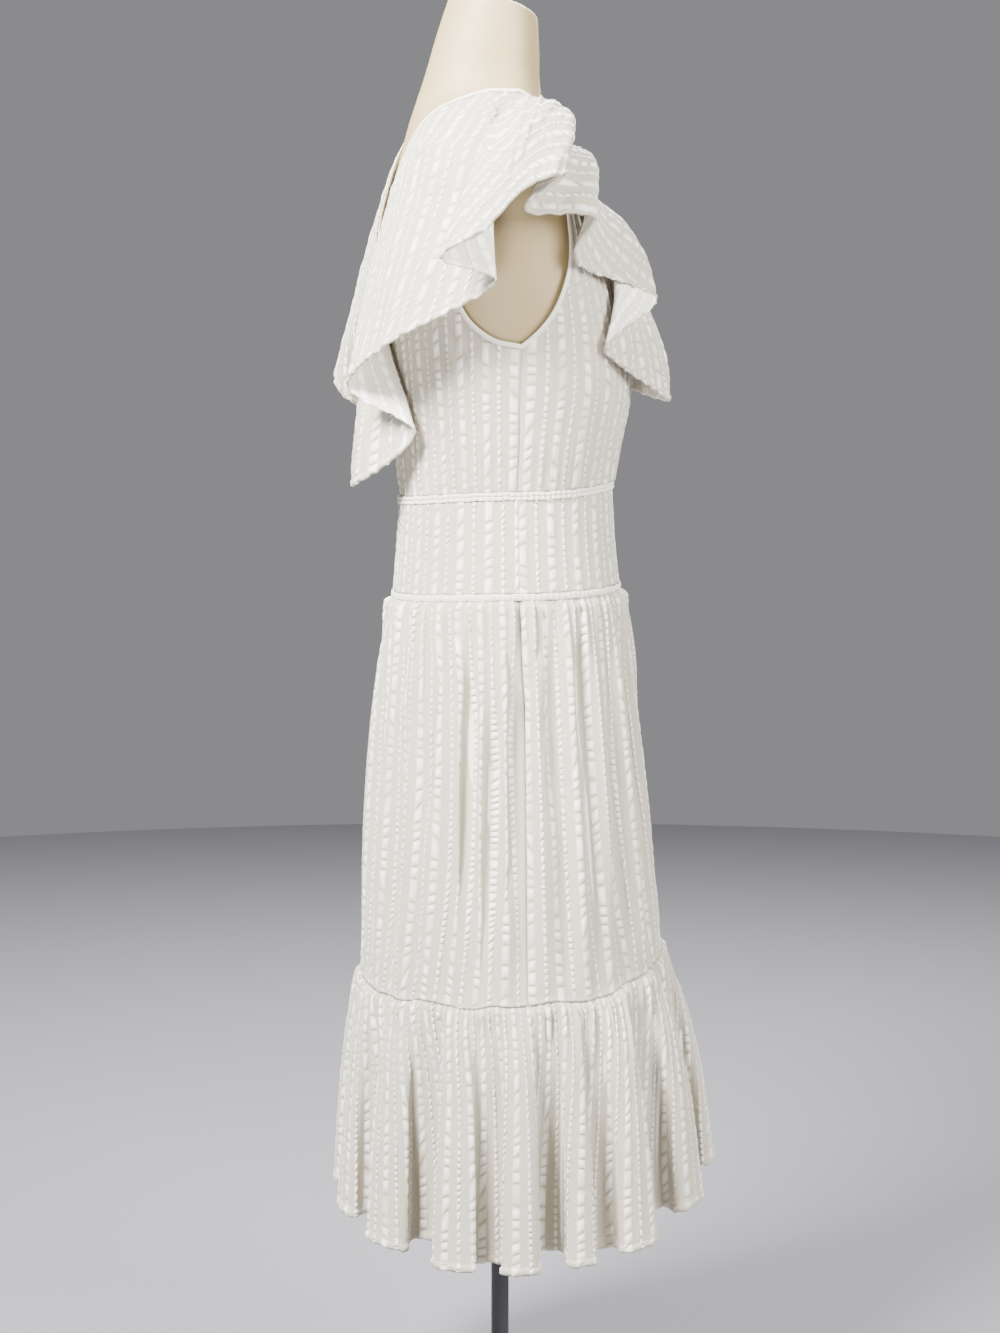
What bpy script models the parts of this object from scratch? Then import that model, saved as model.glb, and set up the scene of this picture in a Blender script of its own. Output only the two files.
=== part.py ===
"""Cotton seersucker midi dress on a limbless dress form, with its stand.

Metres, +Z up. The origin is on the floor under the pole. The front faces -Y, the wearer's right is -X.
Every cloth piece is a wall lofted through rings or rows that are worked out from the tables below.
An angle round the body, turn, is 0 at the centre front, 90 at the wearer's left and 180 at the centre back.
"""

import math

import bpy
import numpy as np

MM = 0.001

# Cloth and seams
CLOTH = 1.2 * MM
GAP = 0.3 * MM
SIDE_GAP = 0.5 * MM  # at the side seams
TIER_GAP = 1.1 * MM  # at the tier's side seams, which lie across its flutes
FLOUNCE_GAP = 1.0 * MM  # where the flounce's two lengths meet, which are steeper
BINDING_WIDTH, BINDING_HEIGHT, BINDING_LIFT = 6.0 * MM, 2.2 * MM, 0.5 * MM
PIPING, PIPING_HEIGHT = 4.2 * MM, 2.6 * MM  # each ridge's width up the body and its thickness
FOOT_STRIP, FOOT_STRIP_HEIGHT = 7.0 * MM, 2.4 * MM

# Heights of the dress: the seams slope up towards the front
WAIST_Z, WAIST_FRONT_UP, WAIST_BACK_UP = 1.0230, 0.0095, -0.0075
V_FRONT_Z = 1.262
V_BACK_Z = 1.188
UNDERARM_Z = 1.171
NECK_POINT, NECK_POINT_Z = 0.0675, 1.4290  # where the neckline crosses the shoulder seam

# Stand
BASE_RADIUS, BASE_HEIGHT = 0.170, 0.008
POLE_RADIUS = 0.0095
HUB_RADIUS, HUB_HEIGHT = 0.024, 0.036
COLLAR_RADIUS, COLLAR_HEIGHT = 0.034, 0.022
FORM_FOOT_Z = 0.780
FORM_EDGE = 4.0 * MM  # chamfer round the form's foot
FORM_DOME = 0.012  # how far the neck's rounded top rises
FORM_NECK_TILT = 0.24  # slope of the neck's top, which is higher at the back
FORM_TILT_STARTS = np.array(((1.42, 0.0), (1.45, 0.1), (1.516, 1.0)))  # height, share of the slope

# The form's sections: height, half width, depth in front of and behind the axis, squareness
FORM_COLUMNS = ("z", "half_width", "front", "back", "squareness")
FORM = np.array((
    (0.780, 0.1400, 0.1040, 0.1080, 2.10),
    (0.830, 0.1470, 0.1120, 0.1160, 2.15),
    (0.880, 0.1410, 0.1150, 0.1120, 2.20),
    (0.919, 0.1325, 0.1180, 0.1055, 2.15),
    (1.023, 0.1225, 0.1095, 0.0985, 2.15),
    (1.080, 0.1315, 0.1175, 0.1015, 2.20),
    (1.130, 0.1395, 0.1265, 0.1065, 2.25),
    (1.180, 0.1450, 0.1210, 0.1125, 2.25),
    (1.240, 0.1550, 0.1050, 0.1185, 2.20),
    (1.300, 0.1650, 0.0835, 0.1180, 2.15),
    (1.340, 0.1660, 0.0690, 0.1100, 2.10),
    (1.364, 0.1570, 0.0605, 0.1040, 2.05),
    (1.384, 0.1330, 0.0540, 0.0990, 2.00),
    (1.404, 0.0985, 0.0480, 0.0935, 2.00),
    (1.422, 0.0710, 0.0435, 0.0875, 2.00),
    (1.440, 0.0600, 0.0410, 0.0810, 2.00),
    (1.480, 0.0550, 0.0400, 0.0670, 2.00),
    (1.516, 0.0530, 0.0385, 0.0530, 2.00),
))

FORM_ROWS = np.array(((0.0, 0.780), (0.45, 1.180), (0.8, 1.420), (1.0, 1.516)))  # share of the rings, height

# From the form to the middle of the bodice cloth, measured level: height, room
EASE = np.array((
    (1.00, 0.0055), (1.13, 0.0070), (1.24, 0.0060), (1.33, 0.0055), (1.37, 0.0048), (1.41, 0.0042),
    (1.45, 0.0036),
))

# The dress below the waist, from seam to seam: share of the way down, height at the side seams, rise at the
# front and at the back, half width, depth in front and behind
RING_COLUMNS = ("share", "z", "front_up", "back_up", "half_width", "front", "back")
BAND = np.array((
    (0.0, WAIST_Z, WAIST_FRONT_UP, WAIST_BACK_UP, 0.1285, 0.1160, 0.1050),
    (0.5, 0.9710, 0.0070, -0.0070, 0.1320, 0.1190, 0.1080),
    (1.0, 0.9190, 0.0045, -0.0060, 0.1390, 0.1245, 0.1125),
))
SKIRT = np.array((
    (0.00, 0.9190, 0.0045, -0.0060, 0.1390, 0.1245, 0.1125),
    (0.12, 0.8720, 0.0060, -0.0060, 0.1520, 0.1330, 0.1225),
    (0.30, 0.8000, 0.0090, -0.0060, 0.1670, 0.1420, 0.1325),
    (0.57, 0.6920, 0.0160, -0.0070, 0.1840, 0.1530, 0.1410),
    (1.00, 0.5200, 0.0260, -0.0080, 0.2000, 0.1680, 0.1475),
))
TIER = np.array((
    (0.00, 0.5200, 0.0260, -0.0080, 0.2000, 0.1680, 0.1475),
    (0.12, 0.4880, 0.0300, -0.0070, 0.2110, 0.1780, 0.1530),
    (0.45, 0.4060, 0.0420, 0.0000, 0.2240, 0.1960, 0.1590),
    (1.00, 0.2620, 0.0580, 0.0120, 0.2330, 0.2120, 0.1640),
))

# Soft folds of the skirt and flutes of the tier: turn in degrees, and reach in mm of each ridge and trough
FOLD_COLUMNS = ("turn", "reach")
SKIRT_FOLDS = np.array((
    (0, -3.5), (7, 3.0), (14, -4.0), (22, 4.5), (30, -3.0), (37, 3.5), (45, -5.0),
    (54, 4.0), (61, -3.0), (68, 4.0), (76, -4.0), (85, 3.0), (93, -5.0), (101, 4.5),
    (109, -3.5), (117, 3.0), (126, -5.0), (134, 4.0), (142, -3.0), (150, 4.5), (158, -4.0),
    (166, 3.5), (175, -5.0), (184, 4.0), (191, -3.5), (199, 3.5), (208, -4.5), (217, 4.5),
    (225, -3.0), (232, 3.0), (239, -3.5), (244, 3.5), (248, -5.5), (253, 4.0), (258, -4.0),
    (263.5, 4.5), (268.5, -6.5), (275, 5.0), (283, -5.0), (289, 4.5), (295, -5.5), (303, 4.0),
    (311, -3.5), (319, 4.5), (327, -4.5), (335, 3.5), (343, -3.0), (351, 4.0),
))
TIER_FLUTES = np.array((
    (0, -11), (14, 15), (27, -13), (40, 17), (53, -14), (66, 18), (79, -12),
    (91, 15), (102, -14), (114, 17), (127, -13), (139, 16), (152, -12), (165, 15),
    (178, -12), (191, 16), (204, -12), (218, 18), (233, -17), (246, 20), (256.5, -7),
    (266.5, 17), (275.5, -19), (282, 11), (288.5, -9), (298, 18), (310, -15), (322, 17),
    (334, -13), (347, 15),
))
# How deep the folds are: share of the way down, share of their reach
SKIRT_DEPTH = np.array(((0, 0.05), (0.12, 0.55), (0.35, 1.0), (0.8, 0.9), (1, 0.35)))
TIER_DEPTH = np.array(((0, 0.04), (0.15, 0.34), (0.5, 0.72), (1, 1.0)))
TIER_GIRTH = 2 * math.pi * 0.2
OVERHANG = 0.30  # how far a flute's sides lean under its ridge, as a share of a fold
RING_POWER = 0.93  # under 1, which squares the rings a little

# Armhole, from the underarm to the shoulder: turn in degrees from the side seam, height
ARMHOLE_COLUMNS = ("forward", "z")
ARMHOLE_FRONT = np.array((
    (0, UNDERARM_Z), (8, 1.190), (16, 1.214), (25, 1.252), (29, 1.288), (29, 1.330), (21, 1.370),
    (0, 1.388),
))
ARMHOLE_BACK = np.array((
    (0, UNDERARM_Z), (12, 1.178), (24, 1.200), (32, 1.238), (35, 1.285), (32, 1.332), (22, 1.370),
    (0, 1.388),
))

# The flounce's hem on the wearer's right, from the centre back over the shoulder to the centre front.
# Each row is a ridge or a trough: its place (x is measured outwards), where its cloth leaves the neckline,
# as a share of the way from the back V to the front V, and how high the cloth bows, as a share of its width
HEM_COLUMNS = ("out", "y", "z", "station", "bow")
FLOUNCE_HEM = np.array((
    (0.000, 0.156, 1.030, 0.000, 0.06),
    (0.100, 0.102, 1.088, 0.055, 0.00),
    (0.066, 0.163, 1.129, 0.140, 0.02),
    (0.150, 0.137, 1.170, 0.300, 0.04),
    (0.214, 0.036, 1.232, 0.460, 0.14),
    (0.228, 0.090, 1.252, 0.530, 0.14),
    (0.250, 0.052, 1.276, 0.585, 0.20),
    (0.243, 0.008, 1.318, 0.630, 0.21),
    (0.226, -0.032, 1.332, 0.665, 0.18),
    (0.200, 0.004, 1.300, 0.700, 0.14),
    (0.186, -0.068, 1.294, 0.735, 0.20),
    (0.160, -0.050, 1.256, 0.770, 0.12),
    (0.070, -0.152, 1.221, 0.845, 0.18),
    (0.126, -0.083, 1.172, 0.905, 0.06),
    (0.000, -0.180, 1.118, 1.000, 0.14),
))
HEM_ROWS = 2 * len(FLOUNCE_HEM) - 2
HEM_FINE = 40
FLOUNCE_SEAM_ROW = 5  # the back and front lengths are joined at this trough
NECK_SEAM = 5.0 * MM  # from the neckline to the flounce's seam
FLOUNCE_LIFT = 2.5 * MM  # the flounce's seam above the middle of the bodice cloth
FLOUNCE_ROOM = 6.0 * MM  # the least that the flounce hangs clear of the bodice, from a fifth of the way down
PUSH_STEP = 0.05  # rows of the hem between the places where that is tried
PUSH_REACH = 4  # such places on each side that share it
UNEVEN = 5.0 * MM  # how far the left side's folds differ from the right side's

# How finely the walls are divided
BODICE_ACROSS, BODICE_UP = 6, 4
STRAP = 1 - (1 - np.linspace(0, 1, 10)) ** 1.25  # rows from the armhole's foot to the shoulder
BAND_AROUND, BAND_DOWN = 22, 2
SKIRT_AROUND, SKIRT_DOWN = 44, 5
TIER_AROUND, TIER_DOWN = 50, 4
FLOUNCE_BACK_ALONG, FLOUNCE_FRONT_ALONG, FLOUNCE_DOWN = 38, 52, 5
SEAM_RING_AROUND = 40
FORM_AROUND, FORM_UP = 40, 26

COTTON = ("seersucker_cotton", (0.83, 0.82, 0.79), 0.85, 0.0)
PLASTIC = ("matte_cream_plastic", (0.68, 0.60, 0.48), 0.55, 0.0)
STEEL = ("grey_steel", (0.16, 0.16, 0.17), 0.45, 1.0)


# ---------------------------------------------------------------- curves and rows


def smooth(at, places, values):
    """A smooth curve through values at rising places, read at the given places."""
    places, values = np.asarray(places, float), np.asarray(values, float)
    at = np.clip(np.asarray(at, float), places[0], places[-1])
    slopes = np.gradient(values, places, axis=0)
    i = np.clip(np.searchsorted(places, at, side="right") - 1, 0, len(places) - 2)
    step = places[i + 1] - places[i]
    t = (at - places[i]) / step
    if values.ndim > 1:
        t, step = t[..., None], step[..., None]
    return hermite(t, values[i], values[i + 1], step * slopes[i], step * slopes[i + 1])


def hermite(t, start, end, leave, arrive):
    """The cubic from start to end with these first and last slopes."""
    return (
        (2 * t**3 - 3 * t**2 + 1) * start + (t**3 - 2 * t**2 + t) * leave
        + (3 * t**2 - 2 * t**3) * end + (t**3 - t**2) * arrive
    )


def lengths(points):
    """The length run from the first point to each point of a path."""
    return np.concatenate(([0.0], np.cumsum(np.linalg.norm(np.diff(points, axis=0), axis=1))))


def along(points, shares):
    """Rows at the given shares of a path's length. The rows may hold more columns than x, y and z."""
    run = lengths(points[:, :3])
    return np.stack([np.interp(np.asarray(shares) * run[-1], run, column) for column in points.T], axis=1)


def unit(vectors):
    return vectors / np.maximum(np.linalg.norm(vectors, axis=-1)[..., None], 1e-9)


def outward(turn):
    c, s = np.cos(np.radians(turn)), np.sin(np.radians(turn))
    return np.stack([s, -c, 0 * s], axis=-1)


def sideways(turn):
    c, s = np.cos(np.radians(turn)), np.sin(np.radians(turn))
    return np.stack([c, s, 0 * s], axis=-1)


# ---------------------------------------------------------------- the form and the rings


def torso(turn, z, grow):
    """A point of the form's surface moved out level by grow. turn is in degrees."""
    half_width, front, back, squareness = np.moveaxis(smooth(z, FORM[:, 0], FORM[:, 1:]), -1, 0)
    c, s = np.cos(np.radians(turn)), np.sin(np.radians(turn))
    power = 2 / squareness
    depth = np.where(c > 0, front, back) + grow
    x = (half_width + grow) * np.sign(s) * np.abs(s) ** power
    y = -depth * np.sign(c) * np.abs(c) ** power
    return np.stack([x, y, z + 0 * x], axis=-1)


def ease(z):
    """From the form to the middle of the bodice cloth at this height, measured level."""
    return smooth(z, EASE[:, 0], EASE[:, 1])


def ring(turn, table, share):
    """A point of the dress below the waist, with no folds."""
    z, front_up, back_up, half_width, front, back = smooth(share, table[:, 0], table[:, 1:])
    c, s = np.cos(np.radians(turn)), np.sin(np.radians(turn))
    x = half_width * np.sign(s) * np.abs(s) ** RING_POWER
    y = -np.where(c > 0, front, back) * np.sign(c) * np.abs(c) ** RING_POWER
    return np.stack([x, y, z + c**2 * np.where(c > 0, front_up, back_up)], axis=-1)


def fold(turn, table):
    """(reach, lean) of a row of folds, in metres: how far it stands out, and its shift round the body."""
    turns = np.concatenate([table[:, 0] - 360, table[:, 0], table[:, 0] + 360])
    reach = np.tile(table[:, 1], 3) * MM
    turn = np.mod(turn, 360)
    i = np.searchsorted(turns, turn, side="right") - 1
    part = (turn - turns[i]) / (turns[i + 1] - turns[i])
    middle, half = (reach[i] + reach[i + 1]) / 2, (reach[i] - reach[i + 1]) / 2
    lean = np.sin(2 * np.pi * part) * (turns[i + 1] - turns[i]) / 360
    return middle + half * np.cos(np.pi * part), lean


def skirt(turn, share):
    depth = float(smooth(share, *SKIRT_DEPTH.T))
    reach, _ = fold(turn, SKIRT_FOLDS)
    return ring(turn, SKIRT, share) + outward(turn) * (reach * depth)[:, None]


def tier(turn, share):
    depth = float(smooth(share, *TIER_DEPTH.T))
    reach, lean = fold(turn, TIER_FLUTES)
    shift = lean * TIER_GIRTH * OVERHANG * depth
    folds = outward(turn) * (reach * depth)[:, None] + sideways(turn) * shift[:, None]
    return ring(turn, TIER, share) + folds


def panel(surface, around, turns, shares):
    """(points, normals) over one panel: each row's points are evenly spaced along its cloth."""
    dense = np.linspace(*turns, 1200)
    points, normals = [], []
    for share in shares:
        path = surface(dense, share)
        cut = (TIER_GAP if surface is tier else SIDE_GAP) / 2 / lengths(path)[-1]
        turn = along(np.column_stack([path, dense]), np.linspace(cut, 1 - cut, around + 1))[:, 3]
        points.append(surface(turn, share))
        across = surface(turn + 0.4, share) - surface(turn - 0.4, share)
        down = surface(turn, min(share + 0.02, 1)) - surface(turn, max(share - 0.02, 0))
        normals.append(unit(np.cross(down, across)))
    return np.array(points), np.array(normals)


# ---------------------------------------------------------------- neckline, armholes and bodice


def on_body(flat):
    """Points of the bodice's surface from rows of turn and height."""
    return torso(flat[..., 0], flat[..., 1], ease(flat[..., 1]))


def body_normal(flat):
    """The bodice's outward direction at rows of turn and height."""
    across = on_body(flat + (0.5, 0)) - on_body(flat - (0.5, 0))
    upward = on_body(flat + (0, 0.0015)) - on_body(flat - (0, 0.0015))
    return unit(np.cross(across, upward))


def even(flat, shares):
    """Rows of turn and height at these shares of the line that they draw on the body."""
    return along(np.concatenate([on_body(flat), flat], axis=1), shares)[:, 3:]


def neckline(facing, shares):
    """One half of the neckline from the V to the shoulder, on the left side: rows of turn and height."""
    v_z = V_FRONT_Z if facing > 0 else V_BACK_Z
    t = 1 - (1 - np.linspace(0, 1, 300)) ** 2
    z = v_z + (NECK_POINT_Z - v_z) * t
    half_width, squareness = smooth(z, FORM[:, 0], FORM[:, (1, 4)]).T
    sine = np.clip(NECK_POINT * t**1.05 / (half_width + ease(z)), 0, 1) ** (squareness / 2)
    turn = np.degrees(np.arcsin(sine))
    turn[-1] = 90
    return even(np.stack([turn if facing > 0 else 180 - turn, z], axis=1), shares)


def armhole(facing, shares):
    """One half of the left armhole from the underarm to the shoulder: rows of turn and height."""
    table = ARMHOLE_FRONT if facing > 0 else ARMHOLE_BACK
    forward, z = smooth(np.linspace(0, 1, 300), np.linspace(0, 1, len(table)), table).T
    return even(np.stack([90 - facing * forward, z], axis=1), shares)


def neckline_loop(shares):
    """The neckline as closed rows of turn and height: from the back V up the right, then round the left."""
    left = np.concatenate([neckline(1, shares)[:-1], neckline(-1, shares)[::-1]])
    return np.concatenate([left[::-1] * (-1, 1) + (360, 0), left[1:-1]])


def armhole_loop(shares):
    return np.concatenate([armhole(1, shares)[:-1], armhole(-1, shares)[:0:-1]])


def moved(points, normals, distance):
    """A closed path moved along its surface, square to its run. Its corners stay sharp."""
    before, after = unit(points - np.roll(points, 1, axis=0)), unit(np.roll(points, -1, axis=0) - points)
    away = unit(np.cross(normals, before + after))
    cosine = (unit(np.cross(normals, after)) * away).sum(axis=1)
    return points + away * (distance / np.maximum(cosine, 0.3))[:, None]


def half_bodice(facing):
    """(points, normals) of the left half of the front (facing 1) or back (-1) bodice, from the waist up."""
    centre, up = (0, WAIST_FRONT_UP) if facing > 0 else (180, WAIST_BACK_UP)
    across = np.linspace(0, 1, BODICE_ACROSS + 1)
    turn = centre + (90 - centre) * across
    foot = WAIST_Z + PIPING + GAP + up * np.cos(np.radians(turn)) ** 2
    neck, arm = neckline(facing, STRAP), armhole(facing, STRAP)
    edges = np.stack([edge_rows(neckline_loop(STRAP), neck, -1), edge_rows(armhole_loop(STRAP), arm, 1)])
    head = edges[0, 0, 2] * (1 - across) + edges[1, 0, 2] * across
    low = np.linspace(0, 1, BODICE_UP + 1)[:, None]
    lower = np.stack([turn + 0 * low, foot * (1 - low) + head * low], axis=2)
    upper = neck[1:, None] * (1 - across[:, None]) + arm[1:, None] * across[:, None]
    flat = np.concatenate([lower, upper])
    points = on_body(flat)
    points[BODICE_UP:, 0], points[BODICE_UP:, -1] = edges
    seam = np.abs(flat[..., 0] - 90) < 1e-6
    points[..., 1] -= facing * SIDE_GAP / 2 * seam
    return points, body_normal(flat)


def edge_rows(loop, rows, side):
    """The points of a bodice's edge beside a binding, for the rows that it shares with the binding."""
    edge = moved(on_body(loop), body_normal(loop), side * (BINDING_WIDTH / 2 + GAP))
    return np.array([edge[np.abs(loop - row).sum(axis=1).argmin()] for row in rows])


# ---------------------------------------------------------------- the flounce


def hem_rows():
    """The hem table for the whole round: the right side from back to front, then the left side back again."""
    right = FLOUNCE_HEM * (-1, 1, 1, 1, 1)
    left = FLOUNCE_HEM[-2:0:-1].copy()
    count = np.arange(len(left))[:, None]
    left[:, :3] += UNEVEN * np.sin(count * (2.1, 3.3, 1.7) + (0.4, 1.9, 3.1))
    left[:, 3] = 2 - left[:, 3]
    return np.concatenate([right, left])


def hem_curve():
    """The hem as a closed smooth curve, with HEM_FINE points from each row to the next."""
    rows = hem_rows()
    ahead, behind = np.roll(rows, -1, axis=0), np.roll(rows, 1, axis=0)
    chord = np.sqrt(np.linalg.norm((ahead - rows)[:, :3], axis=1))[:, None]
    last = np.roll(chord, 1, axis=0)
    slope = (rows - behind) / last + (ahead - rows) / chord - (ahead - behind) / (last + chord)
    t = np.linspace(0, 1, HEM_FINE, endpoint=False)[:, None]
    pieces = []
    for i in range(len(rows)):
        piece = hermite(t, rows[i], ahead[i], slope[i] * chord[i], np.roll(slope, -1, axis=0)[i] * chord[i])
        piece[:, 3] = rows[i, 3] + (np.mod(ahead[i, 3] - rows[i, 3], 2)) * t[:, 0]
        pieces.append(piece)
    return np.concatenate(pieces)


def neck_seam():
    """(points, outward directions) of the flounce's seam, from the back V up the right side and round."""
    loop = neckline_loop(np.linspace(0, 1, 101))
    normals = body_normal(loop)
    return moved(on_body(loop), normals, -NECK_SEAM) + normals * FLOUNCE_LIFT, normals


def around(at, end, values):
    """Rows of a closed round read at places from 0 to end."""
    places = np.linspace(0, end, len(values) + 1)
    wrapped = np.concatenate([values, values[:1]])
    return np.stack([np.interp(np.mod(at, end), places, column) for column in wrapped.T], axis=1)


def flounce_at(place, shares):
    """Points of the flounce at places along the hem, counted in its rows, and at shares of the way down.

    It is moved straight out from the body's axis where it would lie too near the body. On the front, where
    folds lie on one another, each move is shared with the cloth beside it, so the layers keep their order.
    """
    even_places = np.arange(0, HEM_ROWS, PUSH_STEP)
    need = push_needed(hung_at(even_places, shares), shares)
    near = [np.roll(need, step, axis=1) for step in range(-PUSH_REACH, PUSH_REACH + 1)]
    widest = np.max(near, axis=0)
    shared = np.mean([np.roll(widest, step, axis=1) for step in range(-PUSH_REACH, PUSH_REACH + 1)], axis=0)
    stacked = np.abs(even_places - HEM_ROWS / 2) < HEM_ROWS / 2 - FLOUNCE_SEAM_ROW
    push = around(place, HEM_ROWS, np.where(stacked, shared, need).T).T
    return hung_at(place, shares) * np.stack([push, push, 1 + 0 * push], axis=-1)


def hung_at(place, shares):
    """Points of the flounce as it hangs from its seam to its hem, wherever the body is."""
    hem = hem_curve()
    station = np.interp(np.mod(place, HEM_ROWS), np.arange(len(hem) + 1) / HEM_FINE, np.append(hem[:, 3], 2))
    end, bow = np.split(around(place, HEM_ROWS, hem[:, (0, 1, 2, 4)]), [3], axis=1)
    points, normals = neck_seam()
    start, normal = around(station, 2, points), around(station, 2, normals)
    chord = end - start
    width = np.linalg.norm(chord, axis=1)[:, None]
    lift = 0.3 * normal + (0, 0, 0.8) + 0.45 * unit(end * (1, 0.3, 0))
    lift -= chord * ((lift * chord).sum(axis=1)[:, None] / width**2)
    rise = unit(lift) * width * bow * 4 / 3
    t = np.asarray(shares)[:, None, None]
    return start + chord * t + rise * (3.45 * t * (1 - t) ** 2 + 2.55 * t**2 * (1 - t))


def flounce(first_row, last_row, count):
    """(points, normals) of the flounce from one hem row to another, evenly spaced along the hem."""
    dense = np.linspace(first_row, last_row, 2400)
    place = along(np.column_stack([flounce_at(dense, (1.0,))[0], dense]), np.linspace(0, 1, count + 1))[:, 3]
    shares = np.linspace(0, 1, FLOUNCE_DOWN + 1)
    across = flounce_at(place + 0.03, shares) - flounce_at(place - 0.03, shares)
    above, below = np.maximum(shares - 0.03, 0), np.minimum(shares + 0.03, 1)
    upward = flounce_at(place, above) - flounce_at(place, below)
    points = flounce_at(place, shares)
    points[:, 0] += unit(across[:, 0]) * FLOUNCE_GAP / 2
    points[:, -1] -= unit(across[:, -1]) * FLOUNCE_GAP / 2
    return points, unit(np.cross(across, upward))


def push_needed(points, shares):
    """How far out from the body's axis each point has to move, as a factor. It is 1 at the neck seam."""
    share = np.asarray(shares)[:, None]
    grow = ease(points[..., 2]) + FLOUNCE_LIFT + FLOUNCE_ROOM * np.minimum(share * 5, 1)
    half_width, front, back, squareness = np.moveaxis(smooth(points[..., 2], FORM[:, 0], FORM[:, 1:]), -1, 0)
    x, y = points[..., 0], points[..., 1]
    depth = np.where(y < 0, front, back) + grow
    inside = (np.abs(x) / (half_width + grow)) ** squareness + (np.abs(y) / depth) ** squareness
    return np.where(share > 0, np.maximum(1, inside ** (-1 / squareness)), 1)


# ---------------------------------------------------------------- meshes


def material(finish):
    name, colour, roughness, metallic = finish
    made = bpy.data.materials.get(name)
    if made is None:
        made = bpy.data.materials.new(name)
        made.use_nodes = True
        shader = made.node_tree.nodes["Principled BSDF"]
        shader.inputs["Base Color"].default_value = (*colour, 1)
        shader.inputs["Roughness"].default_value = roughness
        shader.inputs["Metallic"].default_value = metallic
    return made


def add(name, points, faces, finish):
    """A closed mesh object. Its faces are turned round if they point inwards."""
    mesh = bpy.data.meshes.new(name)
    mesh.from_pydata(np.reshape(points, (-1, 3)).tolist(), [], faces)
    volume = 0.0
    for polygon in mesh.polygons:
        first, *others = (mesh.vertices[i].co for i in polygon.vertices)
        for second, third in zip(others, others[1:]):
            volume += first.dot(second.cross(third))
    if volume < 0:
        mesh.flip_normals()
    mesh.shade_smooth()
    mesh.set_sharp_from_angle(angle=math.radians(50))
    mesh.materials.append(material(finish))
    obj = bpy.data.objects.new(name, mesh)
    bpy.context.scene.collection.objects.link(obj)


def shell(name, parts):
    """One cloth piece from (points, normals) grids that may share an edge: both faces and the wall's rim.

    Along the side seams the wall stands square to the surface, which the piece beside it shares.
    """
    places, points, normals, beside, quads = {}, [], [], [], []
    for grid, directions in parts:
        index = np.empty(grid.shape[:2], int)
        for at in np.ndindex(index.shape):
            key = tuple(np.round(grid[at] / (0.05 * MM)).astype(int))
            if key not in places:
                places[key] = len(points)
                points.append(grid[at])
                normals.append(directions[at])
                beside.append(at[1] in (0, index.shape[1] - 1))
            index[at] = places[key]
        corners = index[:-1, :-1], index[:-1, 1:], index[1:, 1:], index[1:, :-1]
        quads += zip(*(corner.ravel().tolist() for corner in corners))
    points, normals = np.array(points), unit(np.array(normals))
    edges = [(quad[i], quad[(i + 1) % 4]) for quad in quads for i in range(4)]
    inner = set(edges)
    count = len(points)
    halves = split(points, quads)
    seams = np.array(beside)[:, None]
    offset = np.where(seams, normals, wall_directions(points, normals, halves)) * CLOTH / 2
    faces = halves + [tuple(count + i for i in half[::-1]) for half in halves]
    faces += [(b, a, count + a, count + b) for a, b in edges if (b, a) not in inner]
    add(name, np.concatenate([points + offset, points - offset]), faces, COTTON)


def wall_directions(points, normals, halves):
    """The direction of the wall's thickness at each point.

    It is the mean of the faces round the point, turned a little at a time towards the one that it agrees with
    least, so that the wall stays open on both sides of a tight fold.
    """
    faces = [[] for _ in points]
    total = np.zeros_like(points)
    for half in halves:
        a, b, c = points[list(half)]
        face = unit(np.cross(b - a, c - a))
        for i, (ahead, behind) in zip(half, ((b - a, c - a), (c - b, a - b), (a - c, b - c))):
            faces[i].append(face)
            total[i] += face * math.acos(np.clip(unit(ahead) @ unit(behind), -1, 1))
    found = unit(total)
    for i, near in enumerate(np.array(rows) for rows in faces):
        tried = found[i]
        for step in (0.5, 0.3, 0.2, 0.1, 0.05) * 6:
            tried = unit(tried + step * near[(near @ tried).argmin()])
            if (near @ tried).min() > (near @ found[i]).min():
                found[i] = tried
    return found * np.sign((found * normals).sum())


def split(points, quads):
    """Each quad as two triangles along its shorter diagonal, so both faces of a wall are cut the same way."""
    halves = []
    for a, b, c, d in quads:
        if np.linalg.norm(points[a] - points[c]) <= np.linalg.norm(points[b] - points[d]):
            halves += [(a, b, c), (a, c, d)]
        else:
            halves += [(a, b, d), (b, c, d)]
    return halves


def lofted(name, rings, finish, closed):
    """A body through rings of points: a closed loop of them, or an open row with flat ends."""
    rings = np.array(rings)
    rows, columns = rings.shape[:2]
    faces = []
    for i in range(rows if closed else rows - 1):
        near, far = i * columns, (i + 1) % rows * columns
        for j in range(columns):
            k = (j + 1) % columns
            faces.append((near + j, near + k, far + k, far + j))
    if not closed:
        faces.append(tuple(range(columns))[::-1])
        faces.append(tuple(range((rows - 1) * columns, rows * columns)))
    add(name, rings, faces, finish)


def bead(name, path, normals, width, height):
    """A closed flat cord along a path, its height along the normals. Its outer face is a little narrower."""
    left, right = moved(path, normals, width / 2), moved(path, normals, -width / 2)
    rise, slant = normals * height / 2, (right - left) * 0.2
    section = (left - rise, left + slant + rise, right - slant + rise, right - rise)
    lofted(name, np.stack(section, axis=1), COTTON, closed=True)


def turned(name, profile, finish, sides=48):
    """A round body about the Z axis from rows of radius and height."""
    angles = np.linspace(0, 2 * np.pi, sides, endpoint=False)
    circle = np.stack([np.cos(angles), np.sin(angles)], axis=1)
    rings = [np.column_stack([circle * r, np.full(sides, z)]) for r, z in profile]
    lofted(name, rings, finish, closed=False)


# ---------------------------------------------------------------- pieces


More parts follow.
